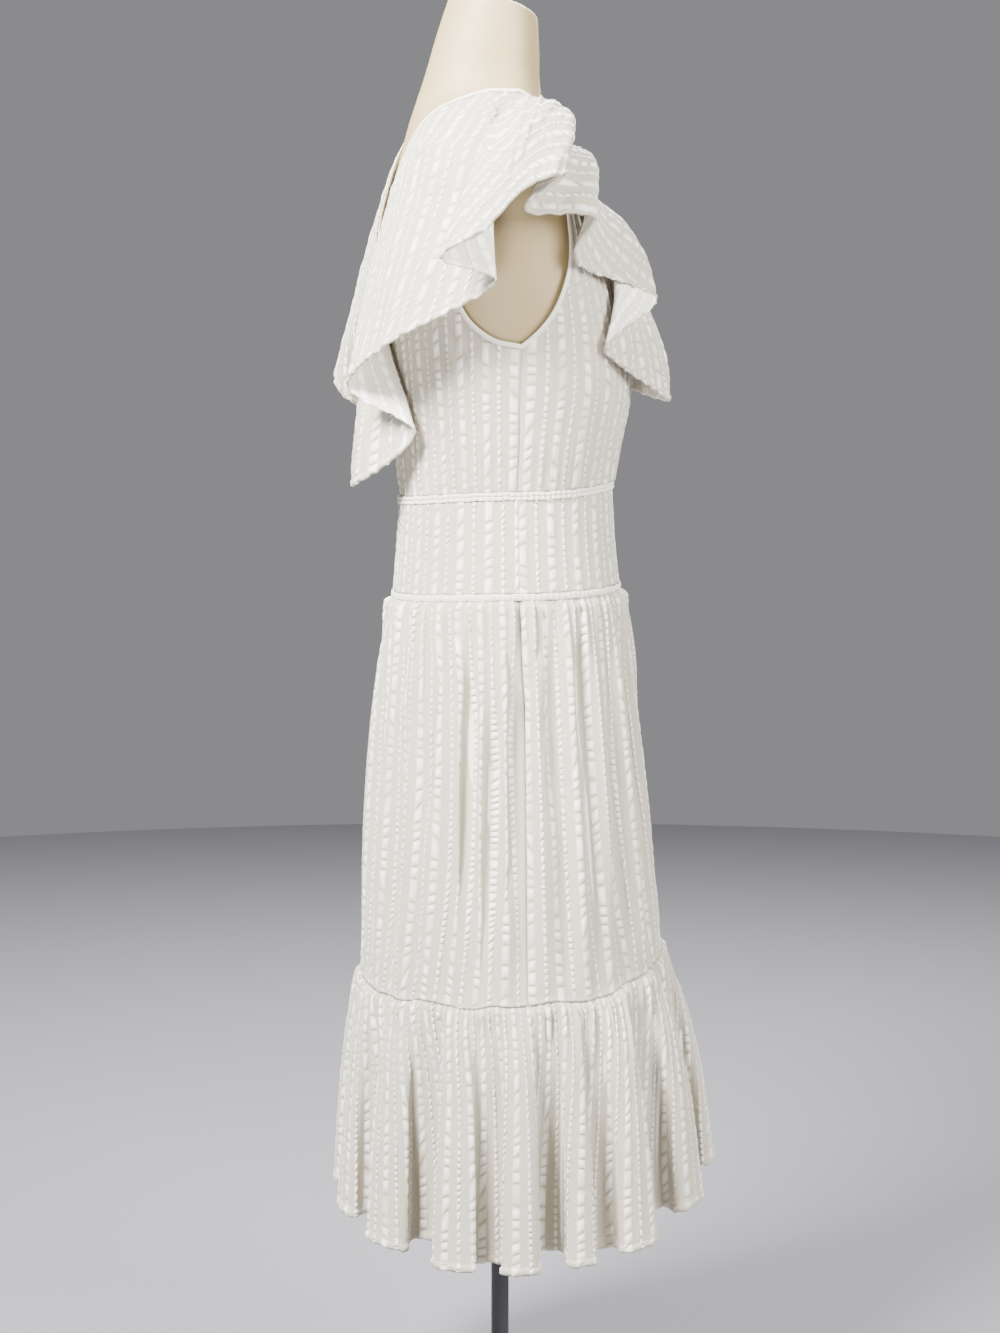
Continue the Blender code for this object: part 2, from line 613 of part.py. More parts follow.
def make_bodice():
    mirror = np.array((-1, 1, 1))
    for name, facing in (("bodice_front", 1), ("bodice_back", -1)):
        points, normals = half_bodice(facing)
        shell(name, ((points, normals), (points[:, ::-1] * mirror, normals[:, ::-1] * mirror)))
    loop = armhole_loop(STRAP)
    path, normals = on_body(loop), body_normal(loop)
    lifted = path + normals * BINDING_LIFT
    bead("armhole_binding_left", lifted, normals, BINDING_WIDTH, BINDING_HEIGHT)
    bead("armhole_binding_right", lifted * mirror, normals * mirror, BINDING_WIDTH, BINDING_HEIGHT)
    loop = neckline_loop(STRAP)
    normals = body_normal(loop)
    bead("neck_binding", on_body(loop) + normals * BINDING_LIFT, normals, BINDING_WIDTH, BINDING_HEIGHT)


def seam_ring(name, table, share, rise, width, height, stand_out):
    """A narrow strip round the body along a seam."""
    turn = np.linspace(0, 360, SEAM_RING_AROUND, endpoint=False)
    path = ring(turn, table, share) + outward(turn) * stand_out + (0, 0, rise)
    bead(name, path, outward(turn), width - GAP, height)


def make_band():
    for name, rise in (("waist_piping_upper", PIPING / 2), ("waist_piping_lower", -PIPING / 2)):
        seam_ring(name, BAND, 0.0, rise, PIPING, PIPING_HEIGHT, 0.5 * MM)
    height = BAND[0, 1] - BAND[-1, 1]
    shares = np.linspace((PIPING + GAP) / height, 1 - (FOOT_STRIP + GAP) / height, BAND_DOWN + 1)
    add_front_and_back("band", lambda turn, share: ring(turn, BAND, share), BAND_AROUND, shares)
    seam_ring("band_foot_strip", BAND, 1.0, FOOT_STRIP / 2, FOOT_STRIP, FOOT_STRIP_HEIGHT, 0.3 * MM)


def make_skirt():
    cut = 1.5 * GAP / (SKIRT[0, 1] - SKIRT[-1, 1])
    shares = cut + (1 - 2 * cut) * np.linspace(0, 1, SKIRT_DOWN + 1) ** 1.15
    add_front_and_back("skirt", skirt, SKIRT_AROUND, shares)
    cut = GAP / (TIER[0, 1] - TIER[-1, 1])
    shares = cut + (1 - cut) * np.linspace(0, 1, TIER_DOWN + 1) ** 1.2
    add_front_and_back("tier", tier, TIER_AROUND, shares)


def add_front_and_back(name, surface, count, shares):
    shell(name + "_front", (panel(surface, count, (-90, 90), shares),))
    shell(name + "_back", (panel(surface, count, (90, 270), shares),))


def make_flounce():
    seam = FLOUNCE_SEAM_ROW
    shell("flounce_back", (flounce(-seam, seam, FLOUNCE_BACK_ALONG),))
    shell("flounce_front", (flounce(seam, HEM_ROWS - seam, FLOUNCE_FRONT_ALONG),))


def make_form():
    """The torso from its flat foot to the rounded top of its neck."""
    turn = np.linspace(0, 360, FORM_AROUND, endpoint=False)
    rings = []
    for z in smooth(np.linspace(0, 1, FORM_UP), *FORM_ROWS.T):
        points = torso(turn, np.full(FORM_AROUND, z), 0)
        points[:, 2] += FORM_NECK_TILT * float(smooth(z, *FORM_TILT_STARTS.T)) * points[:, 1]
        rings.append(points)
    foot = rings[0] * (0.97, 0.97, 1) - (0, 0, FORM_EDGE)
    top = rings[-1]
    middle = top.mean(axis=0)
    for angle in (25, 50, 72):
        c, s = math.cos(math.radians(angle)), math.sin(math.radians(angle))
        rings.append(middle + (top - middle) * c + (0, 0, FORM_DOME * s))
    lofted("form_torso", [foot, *rings], PLASTIC, closed=False)


def make_stand():
    edge = 4 * MM
    rows = (BASE_RADIUS, 0), (BASE_RADIUS, BASE_HEIGHT - edge / 2), (BASE_RADIUS - edge, BASE_HEIGHT)
    turned("stand_base", rows, STEEL)
    low = BASE_HEIGHT + GAP
    high = low + HUB_HEIGHT
    turned("stand_hub", ((HUB_RADIUS, low), (HUB_RADIUS, high - edge), (HUB_RADIUS - edge, high)), STEEL)
    collar_high = FORM_FOOT_Z - FORM_EDGE - GAP
    collar_low = collar_high - COLLAR_HEIGHT
    turned("stand_pole", ((POLE_RADIUS, high + GAP), (POLE_RADIUS, collar_low - GAP)), STEEL, 24)
    rows = ((COLLAR_RADIUS - edge, collar_low), (COLLAR_RADIUS, collar_low + edge),
            (COLLAR_RADIUS, collar_high))
    turned("stand_collar", rows, STEEL)


def main():
    for obj in list(bpy.data.objects):
        bpy.data.objects.remove(obj)
    make_form()
    make_stand()
    make_bodice()
    make_band()
    make_skirt()
    make_flounce()


main()
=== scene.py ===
"""A cotton seersucker midi dress on a limbless dress form: all that shows of it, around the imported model.

Metres, +Z up. The front faces -Y and the wearer's right is -X. An angle round the body, turn, is in degrees:
0 at the centre front, 90 at the wearer's left and 180 at the centre back. Each cloth piece is a thin shell on
the curves that its solid was lofted on, with the gathers, creases and puckered stripes of the real cloth.
"""

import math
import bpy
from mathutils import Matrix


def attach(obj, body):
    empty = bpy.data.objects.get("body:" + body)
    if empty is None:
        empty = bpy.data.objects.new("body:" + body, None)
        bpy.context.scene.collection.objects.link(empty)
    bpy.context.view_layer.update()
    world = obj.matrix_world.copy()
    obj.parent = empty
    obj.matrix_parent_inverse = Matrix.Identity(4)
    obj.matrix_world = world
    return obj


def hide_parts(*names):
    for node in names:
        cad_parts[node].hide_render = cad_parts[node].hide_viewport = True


bl_info = {
    "name": "Seersucker midi dress",
    "version": (1, 0, 0),
    "blender": (4, 5, 0),
    "location": "View3D > Sidebar > Dress",
    "description": "Makes a seersucker dress on a dress form around its packed model",
    "category": "Object",
}

import bpy
import numpy as np
from bpy.props import FloatProperty, FloatVectorProperty, PointerProperty
from bpy.types import Operator, Panel, PropertyGroup
from mathutils import Vector

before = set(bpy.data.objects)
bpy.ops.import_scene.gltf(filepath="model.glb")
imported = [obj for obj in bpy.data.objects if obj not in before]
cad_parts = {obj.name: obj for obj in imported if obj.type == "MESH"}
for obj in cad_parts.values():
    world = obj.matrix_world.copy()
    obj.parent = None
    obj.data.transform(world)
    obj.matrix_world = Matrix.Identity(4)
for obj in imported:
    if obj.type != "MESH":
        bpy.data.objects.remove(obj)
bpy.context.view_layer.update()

MM = 0.001

# ---------------------------------------------------------------- the cut, as on the solids

# Heights of the seams, which slope up towards the front
WAIST_Z, WAIST_FRONT_UP, WAIST_BACK_UP = 1.0230, 0.0095, -0.0075
V_FRONT_Z, V_BACK_Z, UNDERARM_Z = 1.262, 1.188, 1.171
NECK_POINT, NECK_POINT_Z = 0.0675, 1.4290

# The form's sections. Columns: height, half width, depth in front of and behind the axis, squareness
FORM = np.array((
    (0.780, 0.1400, 0.1040, 0.1080, 2.10),
    (0.830, 0.1470, 0.1120, 0.1160, 2.15),
    (0.880, 0.1410, 0.1150, 0.1120, 2.20),
    (0.919, 0.1325, 0.1180, 0.1055, 2.15),
    (1.023, 0.1225, 0.1095, 0.0985, 2.15),
    (1.080, 0.1315, 0.1175, 0.1015, 2.20),
    (1.130, 0.1395, 0.1265, 0.1065, 2.25),
    (1.180, 0.1450, 0.1210, 0.1125, 2.25),
    (1.240, 0.1550, 0.1050, 0.1185, 2.20),
    (1.300, 0.1650, 0.0835, 0.1180, 2.15),
    (1.340, 0.1660, 0.0690, 0.1100, 2.10),
    (1.364, 0.1570, 0.0605, 0.1040, 2.05),
    (1.384, 0.1330, 0.0540, 0.0990, 2.00),
    (1.404, 0.0985, 0.0480, 0.0935, 2.00),
    (1.422, 0.0710, 0.0435, 0.0875, 2.00),
    (1.440, 0.0600, 0.0410, 0.0810, 2.00),
    (1.480, 0.0550, 0.0400, 0.0670, 2.00),
    (1.516, 0.0530, 0.0385, 0.0530, 2.00),
))
FORM_NECK_TILT, FORM_DOME, FORM_EDGE = 0.24, 0.012, 0.004

# From the form to the middle of the bodice cloth, measured level. Columns: height, room
EASE = np.array((
    (1.00, 0.0055), (1.13, 0.0070), (1.24, 0.0060), (1.33, 0.0055), (1.37, 0.0048), (1.41, 0.0042),
    (1.45, 0.0036),
))

# The dress below the waist, from seam to seam. Columns: share of the way down, height at the sides, rise of
# the centre front and back above that, half width, depth in front of and behind the axis
BAND = np.array((
    (0.0, WAIST_Z, WAIST_FRONT_UP, WAIST_BACK_UP, 0.1285, 0.1160, 0.1050),
    (0.5, 0.9710, 0.0070, -0.0070, 0.1320, 0.1190, 0.1080),
    (1.0, 0.9190, 0.0045, -0.0060, 0.1390, 0.1245, 0.1125),
))
SKIRT = np.array((
    (0.00, 0.9190, 0.0045, -0.0060, 0.1390, 0.1245, 0.1125),
    (0.12, 0.8720, 0.0060, -0.0060, 0.1520, 0.1330, 0.1225),
    (0.30, 0.8000, 0.0090, -0.0060, 0.1670, 0.1420, 0.1325),
    (0.57, 0.6920, 0.0160, -0.0070, 0.1840, 0.1530, 0.1410),
    (1.00, 0.5200, 0.0260, -0.0080, 0.2000, 0.1680, 0.1475),
))
TIER = np.array((
    (0.00, 0.5200, 0.0260, -0.0080, 0.2000, 0.1680, 0.1475),
    (0.12, 0.4880, 0.0300, -0.0070, 0.2110, 0.1780, 0.1530),
    (0.45, 0.4060, 0.0420, 0.0000, 0.2240, 0.1960, 0.1590),
    (1.00, 0.2620, 0.0580, 0.0120, 0.2330, 0.2120, 0.1640),
))
RING_POWER = 0.93

# Soft folds of the skirt and flutes of the tier, each ridge and trough in order. Columns: turn, reach in mm
SKIRT_FOLDS = np.array((
    (0, -3.5), (7, 3.0), (14, -4.0), (22, 4.5), (30, -3.0), (37, 3.5), (45, -5.0), (54, 4.0), (61, -3.0),
    (68, 4.0), (76, -4.0), (85, 3.0), (93, -5.0), (101, 4.5), (109, -3.5), (117, 3.0), (126, -5.0),
    (134, 4.0), (142, -3.0), (150, 4.5), (158, -4.0), (166, 3.5), (175, -5.0), (184, 4.0), (191, -3.5),
    (199, 3.5),
    (208, -4.5), (217, 4.5), (225, -3.0), (232, 3.0), (239, -3.5), (244, 3.5), (248, -5.5), (253, 4.0),
    (258, -4.0), (263.5, 4.5), (268.5, -6.5), (275, 5.0), (283, -5.0), (289, 4.5), (295, -5.5), (303, 4.0),
    (311, -3.5), (319, 4.5), (327, -4.5), (335, 3.5), (343, -3.0), (351, 4.0),
))
TIER_FLUTES = np.array((
    (0, -11), (14, 15), (27, -13), (40, 17), (53, -14), (66, 18), (79, -12), (91, 15), (102, -14), (114, 17),
    (127, -13), (139, 16), (152, -12), (165, 15), (178, -12), (191, 16), (204, -12), (218, 18), (233, -17),
    (246, 20), (256.5, -7), (266.5, 17), (275.5, -19), (282, 11), (288.5, -9), (298, 18), (310, -15),
    (322, 17), (334, -13), (347, 15),
))
# How deep the folds are on the way down. Columns: share of the way down, share of the reach
SKIRT_DEPTH = np.array(((0, 0.05), (0.12, 0.55), (0.35, 1.0), (0.8, 0.9), (1, 0.35)))
TIER_DEPTH = np.array(((0, 0.04), (0.15, 0.34), (0.5, 0.72), (1, 1.0)))
# How far the flutes lean over, as a share of their width, on a round of this girth
TIER_GIRTH, OVERHANG = 2 * math.pi * 0.2, 0.30

# Armhole, from the underarm to the shoulder. Columns: turn from the side seam, height
ARMHOLE_FRONT = np.array((
    (0, UNDERARM_Z), (8, 1.190), (16, 1.214), (25, 1.252), (29, 1.288), (29, 1.330), (21, 1.370), (0, 1.388),
))
ARMHOLE_BACK = np.array((
    (0, UNDERARM_Z), (12, 1.178), (24, 1.200), (32, 1.238), (35, 1.285), (32, 1.332), (22, 1.370), (0, 1.388),
))

# The flounce's hem on the wearer's right, each ridge and trough from the centre back over the shoulder to the
# centre front. Columns: its place (out from the axis, y and z), where its cloth leaves the neckline (0 at the
# centre back, 1 at the centre front), and how high the cloth bows
FLOUNCE_HEM = np.array((
    (0.000, 0.156, 1.030, 0.000, 0.06),
    (0.100, 0.102, 1.088, 0.055, 0.00),
    (0.066, 0.163, 1.129, 0.140, 0.02),
    (0.150, 0.137, 1.170, 0.300, 0.04),
    (0.214, 0.036, 1.232, 0.460, 0.14),
    (0.228, 0.090, 1.252, 0.530, 0.14),
    (0.250, 0.052, 1.276, 0.585, 0.20),
    (0.243, 0.008, 1.318, 0.630, 0.21),
    (0.226, -0.032, 1.332, 0.665, 0.18),
    (0.200, 0.004, 1.300, 0.700, 0.14),
    (0.186, -0.068, 1.294, 0.735, 0.20),
    (0.160, -0.050, 1.256, 0.770, 0.12),
    (0.070, -0.152, 1.221, 0.845, 0.18),
    (0.126, -0.083, 1.172, 0.905, 0.06),
    (0.000, -0.180, 1.118, 1.000, 0.14),
))
# Rows of the whole round, points from each to the next, and the row where the two lengths join
HEM_ROWS, HEM_FINE, FLOUNCE_SEAM_ROW = 2 * len(FLOUNCE_HEM) - 2, 40, 5
# The seam below the neckline, how far it stands off, room left on the body, and how uneven the left side is
NECK_SEAM, FLOUNCE_LIFT, FLOUNCE_ROOM, UNEVEN = 5.0 * MM, 2.5 * MM, 6.0 * MM, 5.0 * MM
# Steps in rows of the moves that keep the flounce off the body, and how many of them share one move
PUSH_STEP, PUSH_REACH = 0.05, 4

# Trims and the stand, as on the solids
GAP, FLOUNCE_GAP = 0.3 * MM, 1.0 * MM
BINDING_WIDTH, BINDING_HEIGHT, BINDING_LIFT = 6.0 * MM, 2.2 * MM, 0.5 * MM
PIPING, PIPING_HEIGHT = 4.2 * MM, 2.6 * MM
FOOT_STRIP, FOOT_STRIP_HEIGHT = 7.0 * MM, 2.4 * MM
BASE_RADIUS, BASE_HEIGHT = 0.170, 0.008
POLE_RADIUS, HUB_RADIUS, HUB_HEIGHT = 0.0095, 0.024, 0.036
COLLAR_RADIUS, COLLAR_HEIGHT, FORM_FOOT_Z = 0.034, 0.022, 0.780

# ---------------------------------------------------------------- creases and finish

# Millimetres of cloth in a degree of turn on the bodice and on the skirt, and radius of the bodice's cloth
BODICE_MM_A_DEGREE, SKIRT_MM_A_DEGREE, BODICE_RADIUS = 2.4, 2.6, 0.137
# Creases pressed or pulled into the bodice. Columns: turn and height of both ends, height and width in mm
BODICE_CREASES = (
    (231, 1.222, 243, 1.120, 1.6, 6), (236, 1.208, 252, 1.135, 1.4, 5), (226, 1.225, 229, 1.110, 1.2, 7),
    (303, 1.215, 300, 1.050, 1.8, 5), (309, 1.190, 309, 1.045, 2.0, 5), (316, 1.180, 313, 1.048, 1.6, 6),
    (296, 1.150, 297, 1.048, 1.4, 5), (129, 1.222, 117, 1.120, 1.6, 6), (124, 1.208, 108, 1.135, 1.4, 5),
    (57, 1.215, 60, 1.050, 1.8, 5), (51, 1.190, 50, 1.045, 1.9, 6), (43, 1.180, 46, 1.048, 1.5, 6),
    (333, 1.170, 330, 1.046, 1.6, 6), (20, 1.172, 25, 1.046, 1.5, 6), (350, 1.140, 348, 1.046, 1.2, 5),
    (168, 1.130, 170, 1.035, 1.2, 6), (196, 1.120, 194, 1.035, 1.3, 6), (212, 1.150, 209, 1.035, 1.2, 6),
)
# Soft troughs down the skirt. Columns: turn, first and last share of its length, depth and width in mm, and
# how many degrees each runs round over the whole length
SKIRT_TROUGHS = (
    (249, 0.22, 0.8, 7.2, 9.8, 9), (259, 0.3, 0.92, 8.1, 8.4, 9), (268, 0.25, 0.75, 8.1, 8.4, 9),
    (284, 0.06, 0.5, 6.3, 7, 9), (297, 0.05, 0.42, 6.3, 7, 9), (311, 0.35, 0.95, 7.2, 11.2, 9),
    (332, 0.15, 0.6, 6.3, 9.8, 9), (352, 0.3, 0.85, 7.2, 11.2, 9), (14, 0.1, 0.55, 6.3, 8.4, 9),
    (33, 0.35, 0.9, 8.1, 11.2, 9), (55, 0.12, 0.65, 7.2, 8.4, 9), (74, 0.3, 0.85, 7.2, 9.8, 9),
    (97, 0.25, 0.8, 8.1, 8.4, 9), (116, 0.08, 0.45, 6.3, 7, 9), (133, 0.35, 0.92, 8.1, 11.2, 9),
    (157, 0.15, 0.65, 7.2, 9.8, 9), (178, 0.3, 0.9, 8.1, 11.2, 9), (199, 0.1, 0.5, 6.3, 8.4, 9),
    (216, 0.3, 0.88, 7.2, 9.8, 9), (233, 0.12, 0.55, 6.3, 8.4, 9),
)
# The side seams draw in, and pull the cloth beside the end of the fastening on one of them: the same columns
SEAM_PULLS = (
    (270, -0.1, 0.98, 1.8, 2.24, 0), (90, -0.1, 0.98, 1.8, 2.24, 0), (270, 0.02, 0.3, 2.88, 3.64, 0),
    (277, 0.1, 0.24, 4.32, 3.64, 42), (264, 0.12, 0.26, 3.96, 3.64, -38), (281, 0.2, 0.36, 3.24, 3.64, 30),
)
# Long soft creases from the neck over each shoulder. Columns: hem row, how many rows it leans by on the way
# down, share of the way down where it ends, height in mm, and reach towards the front and the back in mm
CAP_CREASES = (
    (3.45, 2.5, 0.6, 4.4, 4, 12), (3.65, 3.3, 0.7, 4.2, 4, 12), (3, 2.2, 0.5, 3.8, 4, 12),
    (4.9, 0.9, 0.75, 4, 3.2, 10), (5.5, 0.9, 0.9, 3.8, 3.2, 10), (6.1, 0.4, 0.8, 3.2, 3.2, 10),
)
# The crest over each shoulder, in hem rows from the centre back
CREST_ROW = 6.1
# Steps over which the grain of a ring-cut length is evened out
GRAIN_BLUR = 40
# The tier's valleys between its flutes lie deeper at the hem, which rises in them
VALLEY_DEPTH, VALLEY_RISE = 8.5 * MM, 9.0 * MM
# What is left open between two pieces of cloth sewn edge to edge
SEAM = 0.1 * MM
# Both halves of what goes round the body: name, turns from edge to edge, the cloth's own place of the first
FACINGS = (("front", (-90, 90), 0.0), ("back", (90, 270), 0.011))
# Points on a row of cloth when its length is measured
DENSE = 1500
# A bodice piece laid flat, and the columns of its half and the rows of its body and its strap
BODICE_COLUMNS, BODICE_LOW_ROWS, BODICE_STRAP_ROWS = 97, 73, 88
# How puckers wander down their stripe: the runs of their slant's wave and of a slow and a quick drift
SLANT_RUN, SLOW_RUN, QUICK_RUN = 26.0 * MM, 15.5 * MM, 6.5 * MM
# Height of a narrow stripe's puckers beside a wide one's
NARROW_HEIGHT = 0.62

# A rolled hem: its width, the shares of it where its rows lie, its height, the dip above it, and how long its
# small puckers are. Stitches run along the row above it
TIER_HEM_WIDTH, FLOUNCE_HEM_WIDTH = 8.0 * MM, 5.5 * MM
HEM_SHARES = np.array((0.8, 0.6, 0.4, 0.2, 0.0))
HEM_HEIGHT, HEM_DIP, HEM_PUCKER = 1.3 * MM, 0.7 * MM, 1.6 * MM
STITCHED_ROW = -len(HEM_SHARES) - 2
# A covered cord: points round it, squareness (1 is round), length of its puckers, and how far it wanders
CORD_SIDES, CORD_SQUARE, CORD_PUCKER, CORD_WANDER = 12, 0.75, 6.2 * MM, 0.8 * MM
# Points along a cord on an edge and on a ring, and points round the form and the stand
EDGE_POINTS, RING_POINTS, FORM_SIDES, STAND_SIDES = 240, 960, 160, 96
STITCH_PITCH, STITCH_LENGTH, STITCH_RADIUS = 3.2 * MM, 2.2 * MM, 0.22 * MM
# Edges of the form and the stand are sharp past this angle
SHARP = math.radians(40)
# The form's rounded foot, from below. Columns: share of the first section's size, how far below it
FORM_FOOT = ((0.97, FORM_EDGE), (0.985, FORM_EDGE * 0.7))
# Heights on the form's neck, and the share of its tilt there
FORM_TILT = ((1.42, 1.45, 1.516), (0.0, 0.1, 1.0))
# How far apart the flounce's columns are at the hem, and its rows
FLOUNCE_COLUMN, FLOUNCE_ROW = 2.6 * MM, 2.85 * MM

MATERIALS = {}
STITCH_LINES = []

# ---------------------------------------------------------------- settings


def linear(code):
    """A hex sRGB colour as linear red, green and blue, with an alpha of 1."""
    parts = [int(code[i : i + 2], 16) / 255 for i in (0, 2, 4)]
    return (*(c / 12.92 if c <= 0.04045 else ((c + 0.055) / 1.055) ** 2.4 for c in parts), 1.0)


def length_setting(name, description, default):
    return FloatProperty(name=name, description=description, default=default, unit="LENGTH")


def power_setting(name, description, default):
    return FloatProperty(name=name, description=description, default=default, unit="POWER")


def colour_setting(name, description, code):
    return FloatVectorProperty(
        name=name, description=description, default=linear(code), size=4, subtype="COLOR", min=0, max=1
    )


class DRESS_PG_cloth(PropertyGroup):
    """Sizes of the cloth and of its woven stripes"""

    wide: length_setting("Wide stripe", "Width of each wide puckered stripe", 0.0095)
    wide_flat: length_setting("Flat after wide", "Flat cloth after a wide stripe", 0.0075)
    narrow: length_setting("Narrow stripe", "Width of each narrow puckered stripe", 0.00475)
    narrow_flat: length_setting("Flat after narrow", "Flat cloth after a narrow stripe", 0.0085)
    wide_pitch: length_setting("Wide pucker", "Mean length of a pucker in a wide stripe", 0.0134)
    narrow_pitch: length_setting("Narrow pucker", "Mean length of a pucker in a narrow stripe", 0.0075)
    puff: length_setting("Pucker height", "How far a wide stripe's puckers stand up", 0.0008)
    thickness: length_setting("Cloth", "Thickness of the cloth", 0.0006)
    gather: length_setting("Gathers", "Height that the gathers below the band are worked out from", 0.0023)


class DRESS_PG_colours(PropertyGroup):
    """Colours of the dress, the form and the stand"""

    cotton: colour_setting("Puckered cotton", "Colour of the puckered stripes", "FFF9EB")
    # The flat stripes are darker: partly their thinner, sheerer cloth, partly a warm painted shade
    flat: colour_setting("Flat cotton", "Colour of the flat stripes", "C0B7A4")
    wrong_side: colour_setting("Wrong side", "Colour of the cloth's inner face", "D8D1C4")
    form: colour_setting("Form", "Colour of the dress form", "98855F")
    stand: colour_setting("Stand", "Colour of the stand's paint", "3C3C3F")


class DRESS_PG_stage(PropertyGroup):
    """Floor and light"""

    floor_radius: length_setting("Floor", "Radius of the round floor", 4.0)
    key_power: power_setting("Key light", "Power of the main light", 450.0)
    fill_power: power_setting("Fill light", "Power that both fill lights are worked out from", 190.0)
    low_power: power_setting("Low light", "Power of the light below", 190.0)


# ---------------------------------------------------------------- curves


def smooth(at, places, values):
    """A smooth curve through values at rising places, read at the given places."""
    places, values = np.asarray(places, float), np.asarray(values, float)
    at = np.clip(np.asarray(at, float), places[0], places[-1])
    slopes = np.gradient(values, places, axis=0)
    i = np.clip(np.searchsorted(places, at, side="right") - 1, 0, len(places) - 2)
    step = places[i + 1] - places[i]
    t = (at - places[i]) / step
    if values.ndim > 1:
        t, step = t[..., None], step[..., None]
    return hermite(t, values[i], values[i + 1], step * slopes[i], step * slopes[i + 1])


def hermite(t, start, end, leave, arrive):
    """The cubic from start to end with these first and last slopes."""
    return (
        (2 * t**3 - 3 * t**2 + 1) * start + (t**3 - 2 * t**2 + t) * leave
        + (3 * t**2 - 2 * t**3) * end + (t**3 - t**2) * arrive
    )


def lengths(points):
    """The length run from the first point to each point of a path."""
    return np.concatenate(([0.0], np.cumsum(np.linalg.norm(np.diff(points, axis=0), axis=1))))


def along(points, shares):
    """Rows at the given shares of a path's length. The rows may hold more columns than x, y and z."""
    run = lengths(points[:, :3])
    return np.stack([np.interp(np.asarray(shares) * run[-1], run, column) for column in points.T], axis=1)


def unit(vectors):
    """The vectors at a length of 1."""
    return vectors / np.maximum(np.linalg.norm(vectors, axis=-1)[..., None], 1e-9)


def outward(turn):
    """The level direction out from the axis."""
    c, s = np.cos(np.radians(turn)), np.sin(np.radians(turn))
    return np.stack([s, -c, 0 * s], axis=-1)


def sideways(turn):
    """The level direction in which the turn rises."""
    c, s = np.cos(np.radians(turn)), np.sin(np.radians(turn))
    return np.stack([c, s, 0 * s], axis=-1)


def dice(*seeds):
    """Numbers from 0 to 1 that look random, the same for the same seeds."""
    total = sum(np.asarray(seed, float) * scale for seed, scale in zip(seeds, (12.9898, 78.233, 37.719)))
    return np.mod(np.sin(total) * 43758.5453, 1.0)


def waver(at, seed):
    """A gentle uneven wave from -1 to 1 along a length in radians."""
    second, third = np.sin(at * 1.73 + seed * 2.1), np.sin(at * 2.91 + seed * 3.7)
    return (np.sin(at + seed) + 0.6 * second + 0.4 * third) / 2


def ramp(value, low, high):
    """0 below low and 1 above high, with soft ends."""
    t = np.clip((value - low) / (high - low), 0, 1)
    return t * t * (3 - 2 * t)


# ---------------------------------------------------------------- the form and the cut


def torso(turn, z, grow):
    """A point of the form's surface moved out level by grow."""
    half_width, front, back, squareness = np.moveaxis(smooth(z, FORM[:, 0], FORM[:, 1:]), -1, 0)
    c, s = np.cos(np.radians(turn)), np.sin(np.radians(turn))
    power = 2 / squareness
    depth = np.where(c > 0, front, back) + grow
    x = (half_width + grow) * np.sign(s) * np.abs(s) ** power
    y = -depth * np.sign(c) * np.abs(c) ** power
    return np.stack([x, y, z + 0 * x], axis=-1)


def ease(z):
    """From the form to the middle of the bodice cloth at a height."""
    return smooth(z, EASE[:, 0], EASE[:, 1])


def ring(turn, table, share):
    """A point of the dress below the waist, with no folds."""
    z, front_up, back_up, half_width, front, back = smooth(share, table[:, 0], table[:, 1:])
    c, s = np.cos(np.radians(turn)), np.sin(np.radians(turn))
    x = half_width * np.sign(s) * np.abs(s) ** RING_POWER
    y = -np.where(c > 0, front, back) * np.sign(c) * np.abs(c) ** RING_POWER
    return np.stack([x, y, z + c**2 * np.where(c > 0, front_up, back_up)], axis=-1)


def fold(turn, table):
    """(reach, lean) of folds: how far the cloth stands out, and its shift round as a share of the girth."""
    turns = np.concatenate([table[:, 0] - 360, table[:, 0], table[:, 0] + 360])
    reach = np.tile(table[:, 1], 3) * MM
    turn = np.mod(turn, 360)
    i = np.searchsorted(turns, turn, side="right") - 1
    part = (turn - turns[i]) / (turns[i + 1] - turns[i])
    middle, half = (reach[i] + reach[i + 1]) / 2, (reach[i] - reach[i + 1]) / 2
    lean = np.sin(2 * np.pi * part) * (turns[i + 1] - turns[i]) / 360
    return middle + half * np.cos(np.pi * part), lean


def on_body(flat):
    """Points of the bodice's surface from rows of turn and height."""
    return torso(flat[..., 0], flat[..., 1], ease(flat[..., 1]))


def body_normal(flat):
    """Directions out of the bodice's surface, from points half a degree and 1.5 mm to each side."""
    across = on_body(flat + (0.5, 0)) - on_body(flat - (0.5, 0))
    upward = on_body(flat + (0, 1.5 * MM)) - on_body(flat - (0, 1.5 * MM))
    return unit(np.cross(across, upward))


def even(flat, shares):
    """Rows of turn and height at these shares of the line that they draw on the body."""
    return along(np.concatenate([on_body(flat), flat], axis=1), shares)[:, 3:]


def neckline(facing, shares):
    """One half of the neckline from the V to the shoulder, on the left side: rows of turn and height."""
    v_z = V_FRONT_Z if facing > 0 else V_BACK_Z
    t = 1 - (1 - np.linspace(0, 1, 300)) ** 2
    z = v_z + (NECK_POINT_Z - v_z) * t
    half_width, squareness = smooth(z, FORM[:, 0], FORM[:, (1, 4)]).T
    sine = np.clip(NECK_POINT * t**1.05 / (half_width + ease(z)), 0, 1) ** (squareness / 2)
    turn = np.degrees(np.arcsin(sine))
    turn[-1] = 90
    return even(np.stack([turn if facing > 0 else 180 - turn, z], axis=1), shares)


def armhole(facing, shares):
    """One half of the left armhole from the underarm to the shoulder: rows of turn and height."""
    table = ARMHOLE_FRONT if facing > 0 else ARMHOLE_BACK
    forward, z = smooth(np.linspace(0, 1, 300), np.linspace(0, 1, len(table)), table).T
    return even(np.stack([90 - facing * forward, z], axis=1), shares)


def neckline_loop(shares):
    """The neckline as a closed row of turn and height: from the back V up the right side, then the left."""
    left = np.concatenate([neckline(1, shares)[:-1], neckline(-1, shares)[::-1]])
    return np.concatenate([left[::-1] * (-1, 1) + (360, 0), left[1:-1]])


